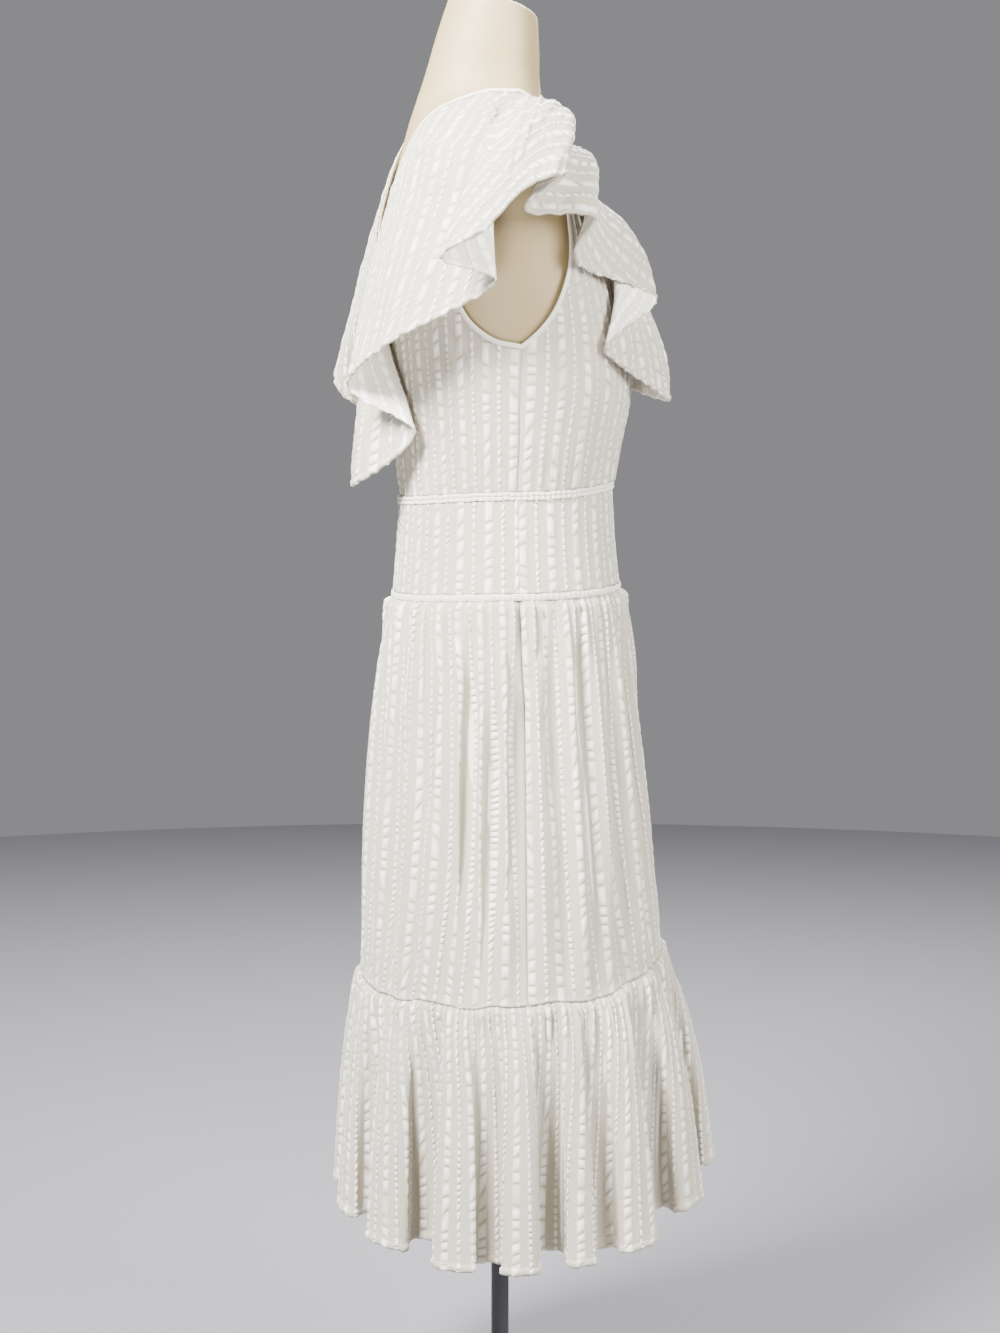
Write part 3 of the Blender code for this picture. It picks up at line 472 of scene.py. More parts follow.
def armhole_loop(shares):
    return np.concatenate([armhole(1, shares)[:-1], armhole(-1, shares)[:0:-1]])


def moved(points, normals, distance):
    """A closed path moved along its surface, square to its run. Its corners stay sharp."""
    before, after = unit(points - np.roll(points, 1, axis=0)), unit(np.roll(points, -1, axis=0) - points)
    away = unit(np.cross(normals, before + after))
    cosine = (unit(np.cross(normals, after)) * away).sum(axis=1)
    return points + away * (distance / np.maximum(cosine, 0.3))[:, None]


def skirt(turn, share):
    depth = float(smooth(share, *SKIRT_DEPTH.T))
    reach, _ = fold(turn, SKIRT_FOLDS)
    return ring(turn, SKIRT, share) + outward(turn) * (reach * depth)[:, None]


def tier(turn, share):
    depth = float(smooth(share, *TIER_DEPTH.T))
    reach, lean = fold(turn, TIER_FLUTES)
    shift = lean * TIER_GIRTH * OVERHANG * depth
    folds = outward(turn) * (reach * depth)[:, None] + sideways(turn) * shift[:, None]
    return ring(turn, TIER, share) + folds


def hem_rows():
    """The hem table for the whole round: the right side from back to front, then the left side back again."""
    right = FLOUNCE_HEM * (-1, 1, 1, 1, 1)
    left = FLOUNCE_HEM[-2:0:-1].copy()
    count = np.arange(len(left))[:, None]
    left[:, :3] += UNEVEN * np.sin(count * (2.1, 3.3, 1.7) + (0.4, 1.9, 3.1))
    left[:, 3] = 2 - left[:, 3]
    return np.concatenate([right, left])


def hem_curve():
    """The hem as a closed smooth curve, with HEM_FINE points from each row to the next."""
    rows = hem_rows()
    ahead, behind = np.roll(rows, -1, axis=0), np.roll(rows, 1, axis=0)
    chord = np.sqrt(np.linalg.norm((ahead - rows)[:, :3], axis=1))[:, None]
    last = np.roll(chord, 1, axis=0)
    slope = (rows - behind) / last + (ahead - rows) / chord - (ahead - behind) / (last + chord)
    t = np.linspace(0, 1, HEM_FINE, endpoint=False)[:, None]
    pieces = []
    for i in range(len(rows)):
        piece = hermite(t, rows[i], ahead[i], slope[i] * chord[i], np.roll(slope, -1, axis=0)[i] * chord[i])
        piece[:, 3] = rows[i, 3] + (np.mod(ahead[i, 3] - rows[i, 3], 2)) * t[:, 0]
        pieces.append(piece)
    return np.concatenate(pieces)


def neck_seam():
    """(points, outward directions) of the flounce's seam, from the back V up the right side and round."""
    loop = neckline_loop(np.linspace(0, 1, 101))
    normals = body_normal(loop)
    return moved(on_body(loop), normals, -NECK_SEAM) + normals * FLOUNCE_LIFT, normals


def around(at, end, values):
    """Rows of values on a closed round whose places run from 0 to end, read at these places."""
    places = np.linspace(0, end, len(values) + 1)
    wrapped = np.concatenate([values, values[:1]])
    return np.stack([np.interp(np.mod(at, end), places, column) for column in wrapped.T], axis=1)


def flounce_at(place, shares):
    """Points of the flounce at places along the hem, counted in its rows, and at shares of the way down.

    It is moved straight out from the body's axis where it would lie too near the body. On the front, where
    folds lie on one another, each move is shared with the cloth beside it, so the layers keep their order.
    """
    even_places = np.arange(0, HEM_ROWS, PUSH_STEP)
    need = push_needed(hung_at(even_places, shares), shares)
    near = [np.roll(need, step, axis=1) for step in range(-PUSH_REACH, PUSH_REACH + 1)]
    widest = np.max(near, axis=0)
    shared = np.mean([np.roll(widest, step, axis=1) for step in range(-PUSH_REACH, PUSH_REACH + 1)], axis=0)
    stacked = np.abs(even_places - HEM_ROWS / 2) < HEM_ROWS / 2 - FLOUNCE_SEAM_ROW
    push = around(place, HEM_ROWS, np.where(stacked, shared, need).T).T
    return hung_at(place, shares) * np.stack([push, push, 1 + 0 * push], axis=-1)


def hung_at(place, shares):
    """Points of the flounce as it hangs from its seam to its hem, wherever the body is."""
    hem = hem_curve()
    station = np.interp(np.mod(place, HEM_ROWS), np.arange(len(hem) + 1) / HEM_FINE, np.append(hem[:, 3], 2))
    end, bow = np.split(around(place, HEM_ROWS, hem[:, (0, 1, 2, 4)]), [3], axis=1)
    points, normals = neck_seam()
    start, normal = around(station, 2, points), around(station, 2, normals)
    chord = end - start
    width = np.linalg.norm(chord, axis=1)[:, None]
    lift = 0.3 * normal + (0, 0, 0.8) + 0.45 * unit(end * (1, 0.3, 0))
    lift -= chord * ((lift * chord).sum(axis=1)[:, None] / width**2)
    rise = unit(lift) * width * bow * 4 / 3
    t = np.asarray(shares)[:, None, None]
    return start + chord * t + rise * (3.45 * t * (1 - t) ** 2 + 2.55 * t**2 * (1 - t))


def push_needed(points, shares):
    """How far out from the body's axis each point has to move, as a factor. It is 1 at the neck seam."""
    share = np.asarray(shares)[:, None]
    grow = ease(points[..., 2]) + FLOUNCE_LIFT + FLOUNCE_ROOM * np.minimum(share * 5, 1)
    half_width, front, back, squareness = np.moveaxis(smooth(points[..., 2], FORM[:, 0], FORM[:, 1:]), -1, 0)
    x, y = points[..., 0], points[..., 1]
    depth = np.where(y < 0, front, back) + grow
    inside = (np.abs(x) / (half_width + grow)) ** squareness + (np.abs(y) / depth) ** squareness
    return np.where(share > 0, np.maximum(1, inside ** (-1 / squareness)), 1)


# ---------------------------------------------------------------- woven stripes


def stripe_edges(cloth):
    return np.cumsum((0.0, cloth.wide, cloth.wide_flat, cloth.narrow, cloth.narrow_flat))


def weave(cloth, across, down):
    """(place, phase, height) of the woven stripes where the cloth is across and down from its corner.

    place counts edges: a wide stripe runs from 0 to 1, flat cloth to 2, a narrow stripe to 3, flat cloth to
    4, and so on. phase counts the puckers down a stripe. height is how far the cloth stands up. The puckers
    slant a little across their stripe, and their lengths and heights wander down it.
    """
    edges = stripe_edges(cloth)
    repeat = np.floor(across / edges[-1])
    rest = across - repeat * edges[-1]
    place = 4 * repeat + np.interp(rest, edges, range(5))
    before, after = (edges[1] + edges[2]) / 2, (edges[3] + edges[4]) / 2
    narrow = (rest > before) & (rest < after)
    stripe = 2 * repeat + np.where(narrow, 1, np.where(rest >= after, 2, 0))
    inside = np.clip(place - 2 * stripe, 0, 1) - 0.5
    first, second = dice(stripe, 1), dice(stripe, 2)
    slant = 0.30 * np.sin(down / SLANT_RUN + 6.3 * first) + 0.3 * second
    phase = down / np.where(narrow, cloth.narrow_pitch, cloth.wide_pitch) + 3 * first
    phase = phase + 0.35 * np.sin(down / SLOW_RUN + 6.3 * second)
    phase = phase + 0.17 * np.sin(down / QUICK_RUN + 9.1 * first) + slant * inside
    crown = np.clip(1.8 * np.sin(np.pi * place), 0, 1)
    ridge = np.abs(np.sin(np.pi * phase)) ** 0.45
    each = 0.72 + 0.5 * dice(stripe, np.floor(phase), 5)
    high = cloth.puff * np.where(narrow, NARROW_HEIGHT, 1.0)
    return place, phase, high * crown * (0.12 + 0.88 * ridge) * each


def thread_columns(cloth, width, start=0.0):
    """Places across a width of cloth, with a few on each stripe and flat, so that each keeps its edges."""
    edges = stripe_edges(cloth)
    # On a wide stripe, the flat after it, a narrow stripe and the flat after that
    counts = (5, 2, 3, 2)
    one = np.concatenate([np.linspace(a, b, n, endpoint=False) for a, b, n in zip(edges, edges[1:], counts)])
    repeats = np.arange(math.floor(start / edges[-1]), math.ceil((start + width) / edges[-1]) + 1)
    places = (repeats[:, None] * edges[-1] + one).ravel()
    places = places[(places > start + MM / 2) & (places < start + width - MM / 2)]
    places = np.concatenate([[start], places, [start + width]])
    return np.delete(places, len(places) // 2) if len(places) % 2 == 0 else places


def down_shares(length, pitch, hem=0.0):
    """Shares of the way down a length of cloth, an odd number of them, with closer ones across a hem."""
    count = 2 * max(1, round((length - hem) / pitch / 2))
    rows = np.linspace(0, length - hem, count + 1)
    if hem:
        # One row at the head makes way, so that their number stays odd
        rows = np.concatenate([rows[:1], rows[2:], length - hem * HEM_SHARES])
    return rows / length


# ---------------------------------------------------------------- meshes


def quads(index, flip=False):
    corners = index[:-1, :-1], index[1:, :-1], index[1:, 1:], index[:-1, 1:]
    faces = np.stack([corner.ravel() for corner in corners], axis=1)
    return (faces[:, ::-1] if flip else faces).tolist()


def rim(outer, inner):
    """Five-sided faces from a closed edge of the fine outer face to the inner one, which has half as many."""
    outer, inner = np.append(outer, outer[0]), np.append(inner, inner[0])
    return np.stack([outer[:-2:2], outer[1:-1:2], outer[2::2], inner[1:], inner[:-1]], axis=1).tolist()


def new_mesh(name, points, faces):
    mesh = bpy.data.meshes.new(name)
    mesh.from_pydata(points.reshape(-1, 3).tolist(), [], faces)
    return mesh


def closed_mesh(name, points, faces):
    """A mesh of closed solids whose faces point outwards."""
    mesh = new_mesh(name, points, faces)
    mesh.calc_loop_triangles()
    corners = np.empty(len(mesh.loop_triangles) * 3, np.int32)
    mesh.loop_triangles.foreach_get("vertices", corners)
    a, b, c = np.moveaxis(points.reshape(-1, 3)[corners.reshape(-1, 3)], 1, 0)
    if (a * np.cross(b, c)).sum() < 0:
        mesh.flip_normals()
    return mesh


def finished(name, mesh, kinds, stands_for_node=True):
    """Adds a mesh as a piece, which stands for the CAD node of its name."""
    for kind in kinds:
        mesh.materials.append(material(kind))
    mesh.shade_smooth()
    obj = bpy.data.objects.new(name, mesh)
    bpy.context.scene.collection.objects.link(obj)
    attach(obj, "root")
    if stands_for_node:
        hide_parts(name)
    return obj


def add_uv(mesh, name, places):
    layer = mesh.uv_layers.new(name=name)
    corners = np.empty(len(mesh.loops), np.int32)
    mesh.loops.foreach_get("vertex_index", corners)
    layer.data.foreach_set("uv", places[corners].astype(np.float32).ravel())


def vertex_normals(points, grids):
    total = np.zeros_like(points)
    for grid in grids:
        a, b, c, d = grid[:-1, :-1], grid[1:, :-1], grid[1:, 1:], grid[:-1, 1:]
        face = np.cross(points[c] - points[a], points[d] - points[b])
        for corner in (a, b, c, d):
            np.add.at(total, corner.ravel(), face.reshape(-1, 3))
    return unit(total)


def lowest_near(values, grids):
    """The least value within two steps of each point, on every grid that holds it."""
    least = values.copy()
    for grid in grids:
        part = values[grid]
        for axis in (0, 1):
            wide = np.pad(part, [(2, 2) if axis == k else (0, 0) for k in (0, 1)], mode="edge")
            span = np.arange(part.shape[axis])
            part = np.min([np.take(wide, span + step, axis=axis) for step in range(5)], axis=0)
        least[grid] = np.minimum(least[grid], part)
    return least


def one_grid(rows, columns):
    """(grids, edge loop) of a plain sheet with these odd counts of rows and columns."""
    grid = np.arange(rows * columns).reshape(rows, columns)
    return [grid], np.concatenate([grid[0], grid[1:, -1], grid[-1, -2::-1], grid[-2:0:-1, 0]])


def cloth_piece(name, points, sheet, across, down, lift, fade, hem=0.0):
    """One cut piece of cloth as a closed thin shell: a fine outer face and an inner one half as fine.

    sheet is its grids and edge loop, across and down are the cloth's own places of the points, lift is how
    far gathers raise them, and fade is the share of the puckers left. hem is the width of a rolled hem.
    """
    cloth = bpy.context.scene.dress_cloth
    grids, loop = sheet
    place, phase, height = weave(cloth, across.ravel(), down.ravel())
    roll, fade = 0 * down, fade + 0 * down
    if hem:
        to_hem = cloth_length(points)
        to_hem = to_hem[-1] - to_hem
        inside = np.clip(to_hem / hem, 0, 1)
        pucker = 1 + 0.45 * waver(across / HEM_PUCKER, 6.0)
        roll = HEM_HEIGHT * pucker * np.sqrt(np.clip(1 - np.abs(2 * inside - 1) ** 2.6, 0, 1))
        roll = roll - HEM_DIP * np.exp(-(((to_hem - hem) / (0.22 * hem)) ** 2))
        fade = fade * (0.3 + 0.7 * ramp(to_hem, hem, hem * 1.5))
    shape = points.shape
    points, roll, fade, lift = points.reshape(-1, 3), roll.ravel(), fade.ravel(), lift.ravel()
    normals = vertex_normals(points, grids)
    gathered = points + normals * lift[:, None]
    outer = gathered + vertex_normals(gathered, grids) * (height * fade + roll)[:, None]
    # The inner face keeps below every dip of the finer outer face
    sunk = lowest_near(np.minimum(lift + roll, 0), grids)
    inner = points + normals * (sunk - cloth.thickness - 0.5 * np.maximum(roll, 0))[:, None]
    kept = np.unique(np.concatenate([grid[::2, ::2].ravel() for grid in grids]))
    index = np.full(len(points), -1)
    index[kept] = len(points) + np.arange(len(kept))
    right = sum([quads(grid) for grid in grids], [])
    wrong = sum([quads(index[grid[::2, ::2]], flip=True) for grid in grids], [])
    edge = rim(loop, index[loop[::2]])
    mesh = new_mesh(name, np.concatenate([outer, inner[kept]]), right + wrong + edge)
    for layer, uv in (("Cloth", (across.ravel(), down.ravel())), ("Weave", (place, phase))):
        uv = np.stack(uv, axis=1)
        add_uv(mesh, layer, np.concatenate([uv, uv[kept]]))
    faces = [0] * len(right) + [1] * len(wrong) + [0] * len(edge)
    mesh.polygons.foreach_set("material_index", np.array(faces, np.int32))
    obj = finished(name, mesh, ("right_side", "wrong_side"))
    return outer.reshape(shape)


def cord(name, path, normals, width, height, pucker):
    """A closed rounded cord along a path, its height along the normals. pucker is the share it swells by."""
    ahead = unit(np.roll(path, -1, axis=0) - np.roll(path, 1, axis=0))
    side = unit(np.cross(normals, ahead))
    run = lengths(np.concatenate([path, path[:1]]))[:-1]
    swell = 1 + pucker * np.sin(2 * np.pi * run / CORD_PUCKER + 1.5 * waver(run / (20 * MM), 2.0))
    path = path + side * (CORD_WANDER * pucker * waver(run / (4.5 * MM), 3.0))[:, None]
    angle = np.linspace(0, 2 * np.pi, CORD_SIDES, endpoint=False)
    c, s = (np.sign(part) * np.abs(part) ** CORD_SQUARE for part in (np.cos(angle), np.sin(angle)))
    points = path[:, None] + side[:, None] * (c * width / 2)[None, :, None]
    points = points + normals[:, None] * (s * height / 2)[None, :, None] * swell[:, None, None]
    index = np.arange(points.shape[0] * CORD_SIDES).reshape(-1, CORD_SIDES)
    index = np.pad(index, ((0, 1), (0, 1)), mode="wrap")
    finished(name, closed_mesh(name, points, quads(index)), ("binding_cotton",))


def loft(name, rings, finish):
    """A solid through rings with the same number of points, its ends flat."""
    rows, columns = rings.shape[:2]
    index = np.arange(rows * columns).reshape(rows, columns)
    ends = [index[0].tolist(), index[-1, ::-1].tolist()]
    mesh = closed_mesh(name, rings, quads(np.pad(index, ((0, 0), (0, 1)), mode="wrap")) + ends)
    finished(name, mesh, (finish,))
    mesh.set_sharp_from_angle(angle=SHARP)


# ---------------------------------------------------------------- materials


def node(tree, kind, inputs=(), **settings):
    """Adds a node and gives its outputs. inputs are values or outputs in order, or by socket in a dict.

    A kind in capitals is an operation of the Math node.
    """
    if kind.isupper():
        kind, settings["operation"] = "ShaderNodeMath", kind
    made = tree.nodes.new(kind)
    for name, value in settings.items():
        setattr(made, name, value)
    for socket, value in inputs.items() if isinstance(inputs, dict) else enumerate(inputs):
        if isinstance(value, bpy.types.NodeSocket):
            tree.links.new(value, made.inputs[socket])
        else:
            made.inputs[socket].default_value = value
    return made.outputs


def new_material(name):
    made = bpy.data.materials.new(name)
    made.use_nodes = True
    made.node_tree.nodes.clear()
    return made, made.node_tree


def surface(tree, colour, roughness, relief, strength, distance, **sockets):
    """A Principled surface with a bump. Other sockets are given by name, with _ for each space."""
    bump = node(tree, "ShaderNodeBump", {"Strength": strength, "Distance": distance, "Height": relief})[0]
    inputs = {name.replace("_", " "): value for name, value in sockets.items()}
    inputs |= {"Base Color": colour, "Roughness": roughness, "Normal": bump}
    node(tree, "ShaderNodeOutputMaterial", node(tree, "ShaderNodeBsdfPrincipled", inputs)[:1])


def uv_places(tree, layer):
    """The two places of a piece's own UV map: Cloth in metres of cloth, Weave in stripe edges and puckers."""
    place = node(tree, "ShaderNodeUVMap", uv_map=layer)[0]
    return node(tree, "ShaderNodeSeparateXYZ", (place,))[:2]


def wave(tree, value):
    """The sine that crosses zero at each whole number."""
    turn = node(tree, "MULTIPLY", (value, math.pi))[0]
    return node(tree, "SINE", (turn,))[0]


def seersucker():
    """Puckered woven cotton: dense crinkled stripes stand up between thinner flat ones."""
    colours = bpy.context.scene.dress_colours
    made, tree = new_material("seersucker_cotton")
    across, phase = uv_places(tree, "Weave")
    stripe = wave(tree, across)
    between = node(tree, "ABSOLUTE", (wave(tree, phase),))[0]
    crown = node(tree, "MULTIPLY", (stripe, 1.7), use_clamp=True)[0]
    pillow = node(tree, "POWER", (between, 0.45))[0]
    puff = node(tree, "MULTIPLY", (crown, pillow))[0]
    # Painted shade: the creases between the puckers are mixed towards a dark warm grey, A79B85, below
    nearly = node(tree, "SUBTRACT", (1.0, between))[0]
    sharp = node(tree, "POWER", (nearly, 3.0))[0]
    crease = node(tree, "MULTIPLY", (crown, sharp))[0]
    # No two puckers catch quite the same light: each one's painted highlight and bump height differ at random
    half = node(tree, "MULTIPLY", (across, 0.5))[0]
    cell = [node(tree, "FLOOR", (part,))[0] for part in (half, phase)]
    cell = node(tree, "ShaderNodeCombineXYZ", cell)[0]
    each = node(tree, "ShaderNodeTexWhiteNoise", {"Vector": cell}, noise_dimensions="2D")[0]
    each = node(tree, "MULTIPLY", (each, 0.95))[0]
    full = node(tree, "ADD", (each, 0.4), use_clamp=True)[0]
    # The puckered stripes are lighter than the flat ones: partly the denser cloth, partly a painted highlight
    # on each pucker
    puff_tone_and_highlight = node(tree, "MULTIPLY", (puff, full))[0]
    painted_crease_shade = node(tree, "MULTIPLY", (crease, 0.75))[0]
    tones = {0: puff_tone_and_highlight, 6: colours.flat, 7: colours.cotton}
    colour = node(tree, "ShaderNodeMix", tones, data_type="RGBA")[2]
    tones = {0: painted_crease_shade, 6: colour, 7: linear("A79B85")}
    colour = node(tree, "ShaderNodeMix", tones, data_type="RGBA")[2]
    # The real threads are about 0.3 mm apart, which is finer than a render shows, so they are drawn at 1 mm
    turns = [node(tree, "MULTIPLY", (part, 2 * math.pi / MM))[0] for part in uv_places(tree, "Cloth")]
    threads = [node(tree, "SINE", (turn,))[0] for turn in turns]
    threads = node(tree, "MULTIPLY", threads)[0]
    cloth = node(tree, "ShaderNodeUVMap", uv_map="Cloth")[0]
    slubs = node(tree, "ShaderNodeTexNoise", {"Vector": cloth, "Scale": 420.0, "Detail": 2.0})[0]
    fine = node(tree, "ADD", (threads, slubs))[0]
    fine = node(tree, "MULTIPLY", (fine, 0.07))[0]
    round_stripe = node(tree, "MAXIMUM", (stripe, 0.0))[0]
    round_pucker = node(tree, "POWER", (between, 0.75))[0]
    height = node(tree, "MULTIPLY", (round_stripe, round_pucker))[0]
    height = node(tree, "MULTIPLY", (height, full))[0]
    height = node(tree, "ADD", (height, fine))[0]
    smoother = node(tree, "MULTIPLY", (puff, 0.42))[0]
    rough = node(tree, "SUBTRACT", (0.75, smoother))[0]
    surface(tree, colour, rough, height, 1.0, 3.4 * MM, Sheen_Weight=0.2, Sheen_Roughness=0.35)
    return made


def wrong_side():
    """The inner face of the same cloth: its stripes show faintly, on the cloth's own coordinates."""
    colours, cloth = bpy.context.scene.dress_colours, bpy.context.scene.dress_cloth
    made, tree = new_material("seersucker_cotton_wrong_side")
    across, down = uv_places(tree, "Cloth")
    repeat = float(stripe_edges(cloth)[-1])
    rest = node(tree, "DIVIDE", (across, repeat))[0]
    rest = node(tree, "FRACT", (rest,))[0]
    stripes = []
    for low, wide, pitch in (
        (0, cloth.wide, cloth.wide_pitch),
        (cloth.wide + cloth.wide_flat, cloth.narrow, cloth.narrow_pitch),
    ):
        inside = node(tree, "SUBTRACT", (rest, low / repeat))[0]
        inside = node(tree, "DIVIDE", (inside, wide / repeat), use_clamp=True)[0]
        crown = node(tree, "MULTIPLY", (wave(tree, inside), 2.0), use_clamp=True)[0]
        phase = node(tree, "DIVIDE", (down, pitch))[0]
        between = node(tree, "ABSOLUTE", (wave(tree, phase),))[0]
        pillow = node(tree, "POWER", (between, 0.5))[0]
        stripes.append(node(tree, "MULTIPLY", (crown, pillow))[0])
    puff = node(tree, "ADD", stripes)[0]
    tones = {0: puff, 6: colours.wrong_side, 7: colours.cotton}
    colour = node(tree, "ShaderNodeMix", tones, data_type="RGBA")[2]
    surface(tree, colour, 0.8, puff, 0.9, 1.2 * MM, Sheen_Weight=0.15)
    return made


def speckled(name, colour, roughness, grains_per_metre, strength, **sockets):
    """A moulded, painted or plain surface with a fine uneven skin, on object coordinates."""
    made, tree = new_material(name)
    place = node(tree, "ShaderNodeTexCoord")["Object"]
    skin = {"Vector": place, "Scale": grains_per_metre, "Detail": 3.0}
    relief = node(tree, "ShaderNodeTexNoise", skin)[0]
    surface(tree, colour, roughness, relief, strength, 0.4 * MM, **sockets)
    return made


def make_material(kind):
    colours = bpy.context.scene.dress_colours
    if kind == "right_side":
        return seersucker()
    if kind == "wrong_side":
        return wrong_side()
    # Plain woven cotton folded over: dull, with a visible tooth
    if kind == "binding_cotton":
        return speckled("plain_cotton_binding", linear("CFC8B9"), 0.88, 900.0, 0.5)
    # Spun cotton thread: dull and nearly white
    if kind == "thread":
        return speckled("cotton_thread", linear("EFEBE2"), 0.8, 2000.0, 0.2)
    # Moulded plastic with a matte skin: a soft broad highlight and no grain to speak of
    if kind == "form":
        return speckled("matte_cream_moulded_plastic", colours.form, 0.55, 160.0, 0.06)
    # Powder-coated steel: a dull sheen over a fine orange-peel skin
    if kind == "stand":
        return speckled("grey_powder_coated_steel", colours.stand, 0.45, 1400.0, 0.25, Metallic=0.3)
    if kind == "floor":
        return speckled("pale_floor", linear("757579"), 0.8, 12.0, 0.02)
    raise ValueError(f"no material is called {kind}")


def material(kind):
    """The material of this kind, made the first time."""
    if kind not in MATERIALS:
        MATERIALS[kind] = make_material(kind)
    return MATERIALS[kind]


# ---------------------------------------------------------------- dress pieces


def length_of(path):
    return float(lengths(path)[-1])


def cloth_length(points):
    """How far down the cloth each point lies, along its column."""
    steps = np.linalg.norm(np.diff(points, axis=0), axis=2)
    return np.concatenate([np.zeros((1, points.shape[1])), np.cumsum(steps, axis=0)])


def gathers(across, down, pitch, reach, high, seed):
    """How far small gathers below a seam raise the cloth. No two have the same height or length."""
    at = across / pitch + 0.6 * waver(across / (28 * MM), seed)
    each, other = dice(np.floor(at), seed), dice(np.floor(at), seed + 5)
    ridge = np.abs(np.sin(np.pi * at)) ** 1.4
    length = reach * (0.4 + 1.3 * each**2)
    run = ramp(down, -2 * MM, 8 * MM) * (1 - ramp(down, 0.1 * length, length))
    return high * (0.35 + 0.9 * other) * ridge * run


def nearest(turn):
    """The same turn from -180 to 180 degrees."""
    return np.mod(turn + 180, 360) - 180


def troughs(table, turn, share):
    """How far soft folds pull the skirt in, from a table of them."""
    pull = np.zeros_like(turn)
    for middle, first, last, depth, width, drift in table:
        away = nearest(turn - middle + drift * (share - first)) * SKIRT_MM_A_DEGREE / width
        run = ramp(share, first - 0.12, first + 0.12) * (1 - ramp(share, last - 0.15, last + 0.1))
        pull -= depth * MM * run * np.exp(-np.abs(away) ** 1.5)
    return pull


def sewn(away):
    """A seam holds the puckers beside it down."""
    return 0.15 + 0.85 * ramp(away, 0.0, 7 * MM)


# Each gives a round piece's lift and the share of its puckers left, from its own places and its turn


def band_cloth(across, down, turn):
    return 0 * down, 0.95


def skirt_cloth(across, down, turn):
    gather = bpy.context.scene.dress_cloth.gather
    lift = gathers(across, down, pitch=11.8 * MM, reach=120 * MM, high=2.7 * gather, seed=3.0)
    lift = lift + troughs(SKIRT_TROUGHS + SEAM_PULLS, turn, down / down[-1])
    edge = down[-1] - down
    # The seam at the foot makes a low puckered ridge
    ridge = 1 + 0.5 * waver(across / (3.5 * MM), 8.0)
    lift = lift + 1.2 * MM * ridge * np.exp(-((edge / (3.2 * MM)) ** 2))
    return lift, (0.8 + 0.2 * ramp(down, 20 * MM, 100 * MM)) * sewn(down) * sewn(edge)


def tier_cloth(across, down, turn):
    gather = bpy.context.scene.dress_cloth.gather
    lift = gathers(across, down, pitch=10.5 * MM, reach=65 * MM, high=2.4 * gather, seed=7.0)
    return lift, (0.8 + 0.2 * ramp(down, 20 * MM, 80 * MM)) * sewn(down)


def scallop(turn):
    """The seam above the tier is drawn up a little by its gathers."""
    return 3.5 * MM * waver(np.radians(turn) * 8, 1.0)


def meeting(turn):
    """Half of the way from the skirt's foot to the head of the tier, which is gathered onto it."""
    return (tier(turn, 0.0) - skirt(turn, 1.0)) / 2


def band(turn, share):
    return ring(turn, BAND, share)


def skirt_to_seam(turn, share):
    points = skirt(turn, share)
    points[:, 2] += scallop(turn) * float(ramp(share, 0.86, 1.0))
    return points + meeting(turn) * float(ramp(share, 0.93, 1.0))


def tier_from_seam(turn, share):
    points = tier(turn, share)
    reach, _ = fold(turn, TIER_FLUTES)
    valley = np.clip(-reach / np.abs(reach).max(), 0, 1) * float(ramp(share, 0.15, 0.85))
    points -= outward(turn) * (VALLEY_DEPTH * valley)[:, None]
    points[:, 2] += VALLEY_RISE * valley * share**3
    points[:, 2] += scallop(turn) * float(1 - ramp(share, 0, 0.25))
    return points - meeting(turn) * float(1 - ramp(share, 0, 0.1))


def make_round_piece(name, surface_at, turns, first, last, flat, pitch, start, dress, hem=0.0):
    """A cloth piece from the first to the last share of a surface round the body. Gives its outer face.

    Each row's points lie at the same shares of its cloth. start is the cloth's own place of its first column,
    and pitch is how far its rows are apart.
    """
    width, length = flat
    columns = thread_columns(bpy.context.scene.dress_cloth, width, start)
    rows = down_shares(length, pitch, hem)
    dense = np.linspace(*turns, DENSE)
    points, turn = [], []
    for share in first + (last - first) * rows:
        path = surface_at(dense, share)
        cut = SEAM / 2 / length_of(path)
        shares = cut + (1 - 2 * cut) * (columns - start) / width
        turn.append(along(np.column_stack([path, dense]), shares)[:, 3])
        points.append(surface_at(turn[-1], share))
    points = np.array(points)
    if hem:
        points[..., 2] += 1.3 * MM * waver(columns / (3.3 * MM), 3.0) * ramp(rows, 0.8, 1.0)[:, None]
    down = cloth_length(points)
    across = np.broadcast_to(columns, down.shape)
    lift, fade = dress(across, down, np.array(turn))
    return cloth_piece(name, points, one_grid(*down.shape), across, down, lift, fade, hem)


def make_both(name, surface_at, dress, length, first, last, pitch, widest, points=DENSE, hem=0.0):
    """The front and the back of cloth that goes round the body.

    widest is the surface and the share of it that give the flat width, measured over this many points.
    """
    outer = []
    for side, turns, start in FACINGS:
        flat = length_of(widest[0](np.linspace(*turns, points), widest[1])), length
        piece = name + "_" + side
        outer.append(make_round_piece(piece, surface_at, turns, first, last, flat, pitch, start, dress, hem))
    return outer


def half_bodice(facing):
    """Turn and height over the left half of one bodice piece, from the shoulder down."""
    centre, up = (0, WAIST_FRONT_UP) if facing > 0 else (180, WAIST_BACK_UP)
    share = np.linspace(0, 1, BODICE_COLUMNS)
    strap_at = 1 - (1 - np.linspace(0, 1, BODICE_STRAP_ROWS + 1)) ** 1.1
    neck, arm = neckline(facing, strap_at), armhole(facing, strap_at)
    turn = centre + (90 - centre) * share
    foot = WAIST_Z + PIPING + SEAM + up * np.cos(np.radians(turn)) ** 2
    low = np.linspace(0, 1, BODICE_LOW_ROWS)[:, None]
    head = neck[0, 1] * (1 - share) + arm[0, 1] * share
    lower = np.stack([turn + 0 * low, head * (1 - low) + foot * low], axis=2)
    strap = neck[1:, None] * (1 - share[:, None]) + arm[1:, None] * share[:, None]
    return np.concatenate([strap[::-1], lower])


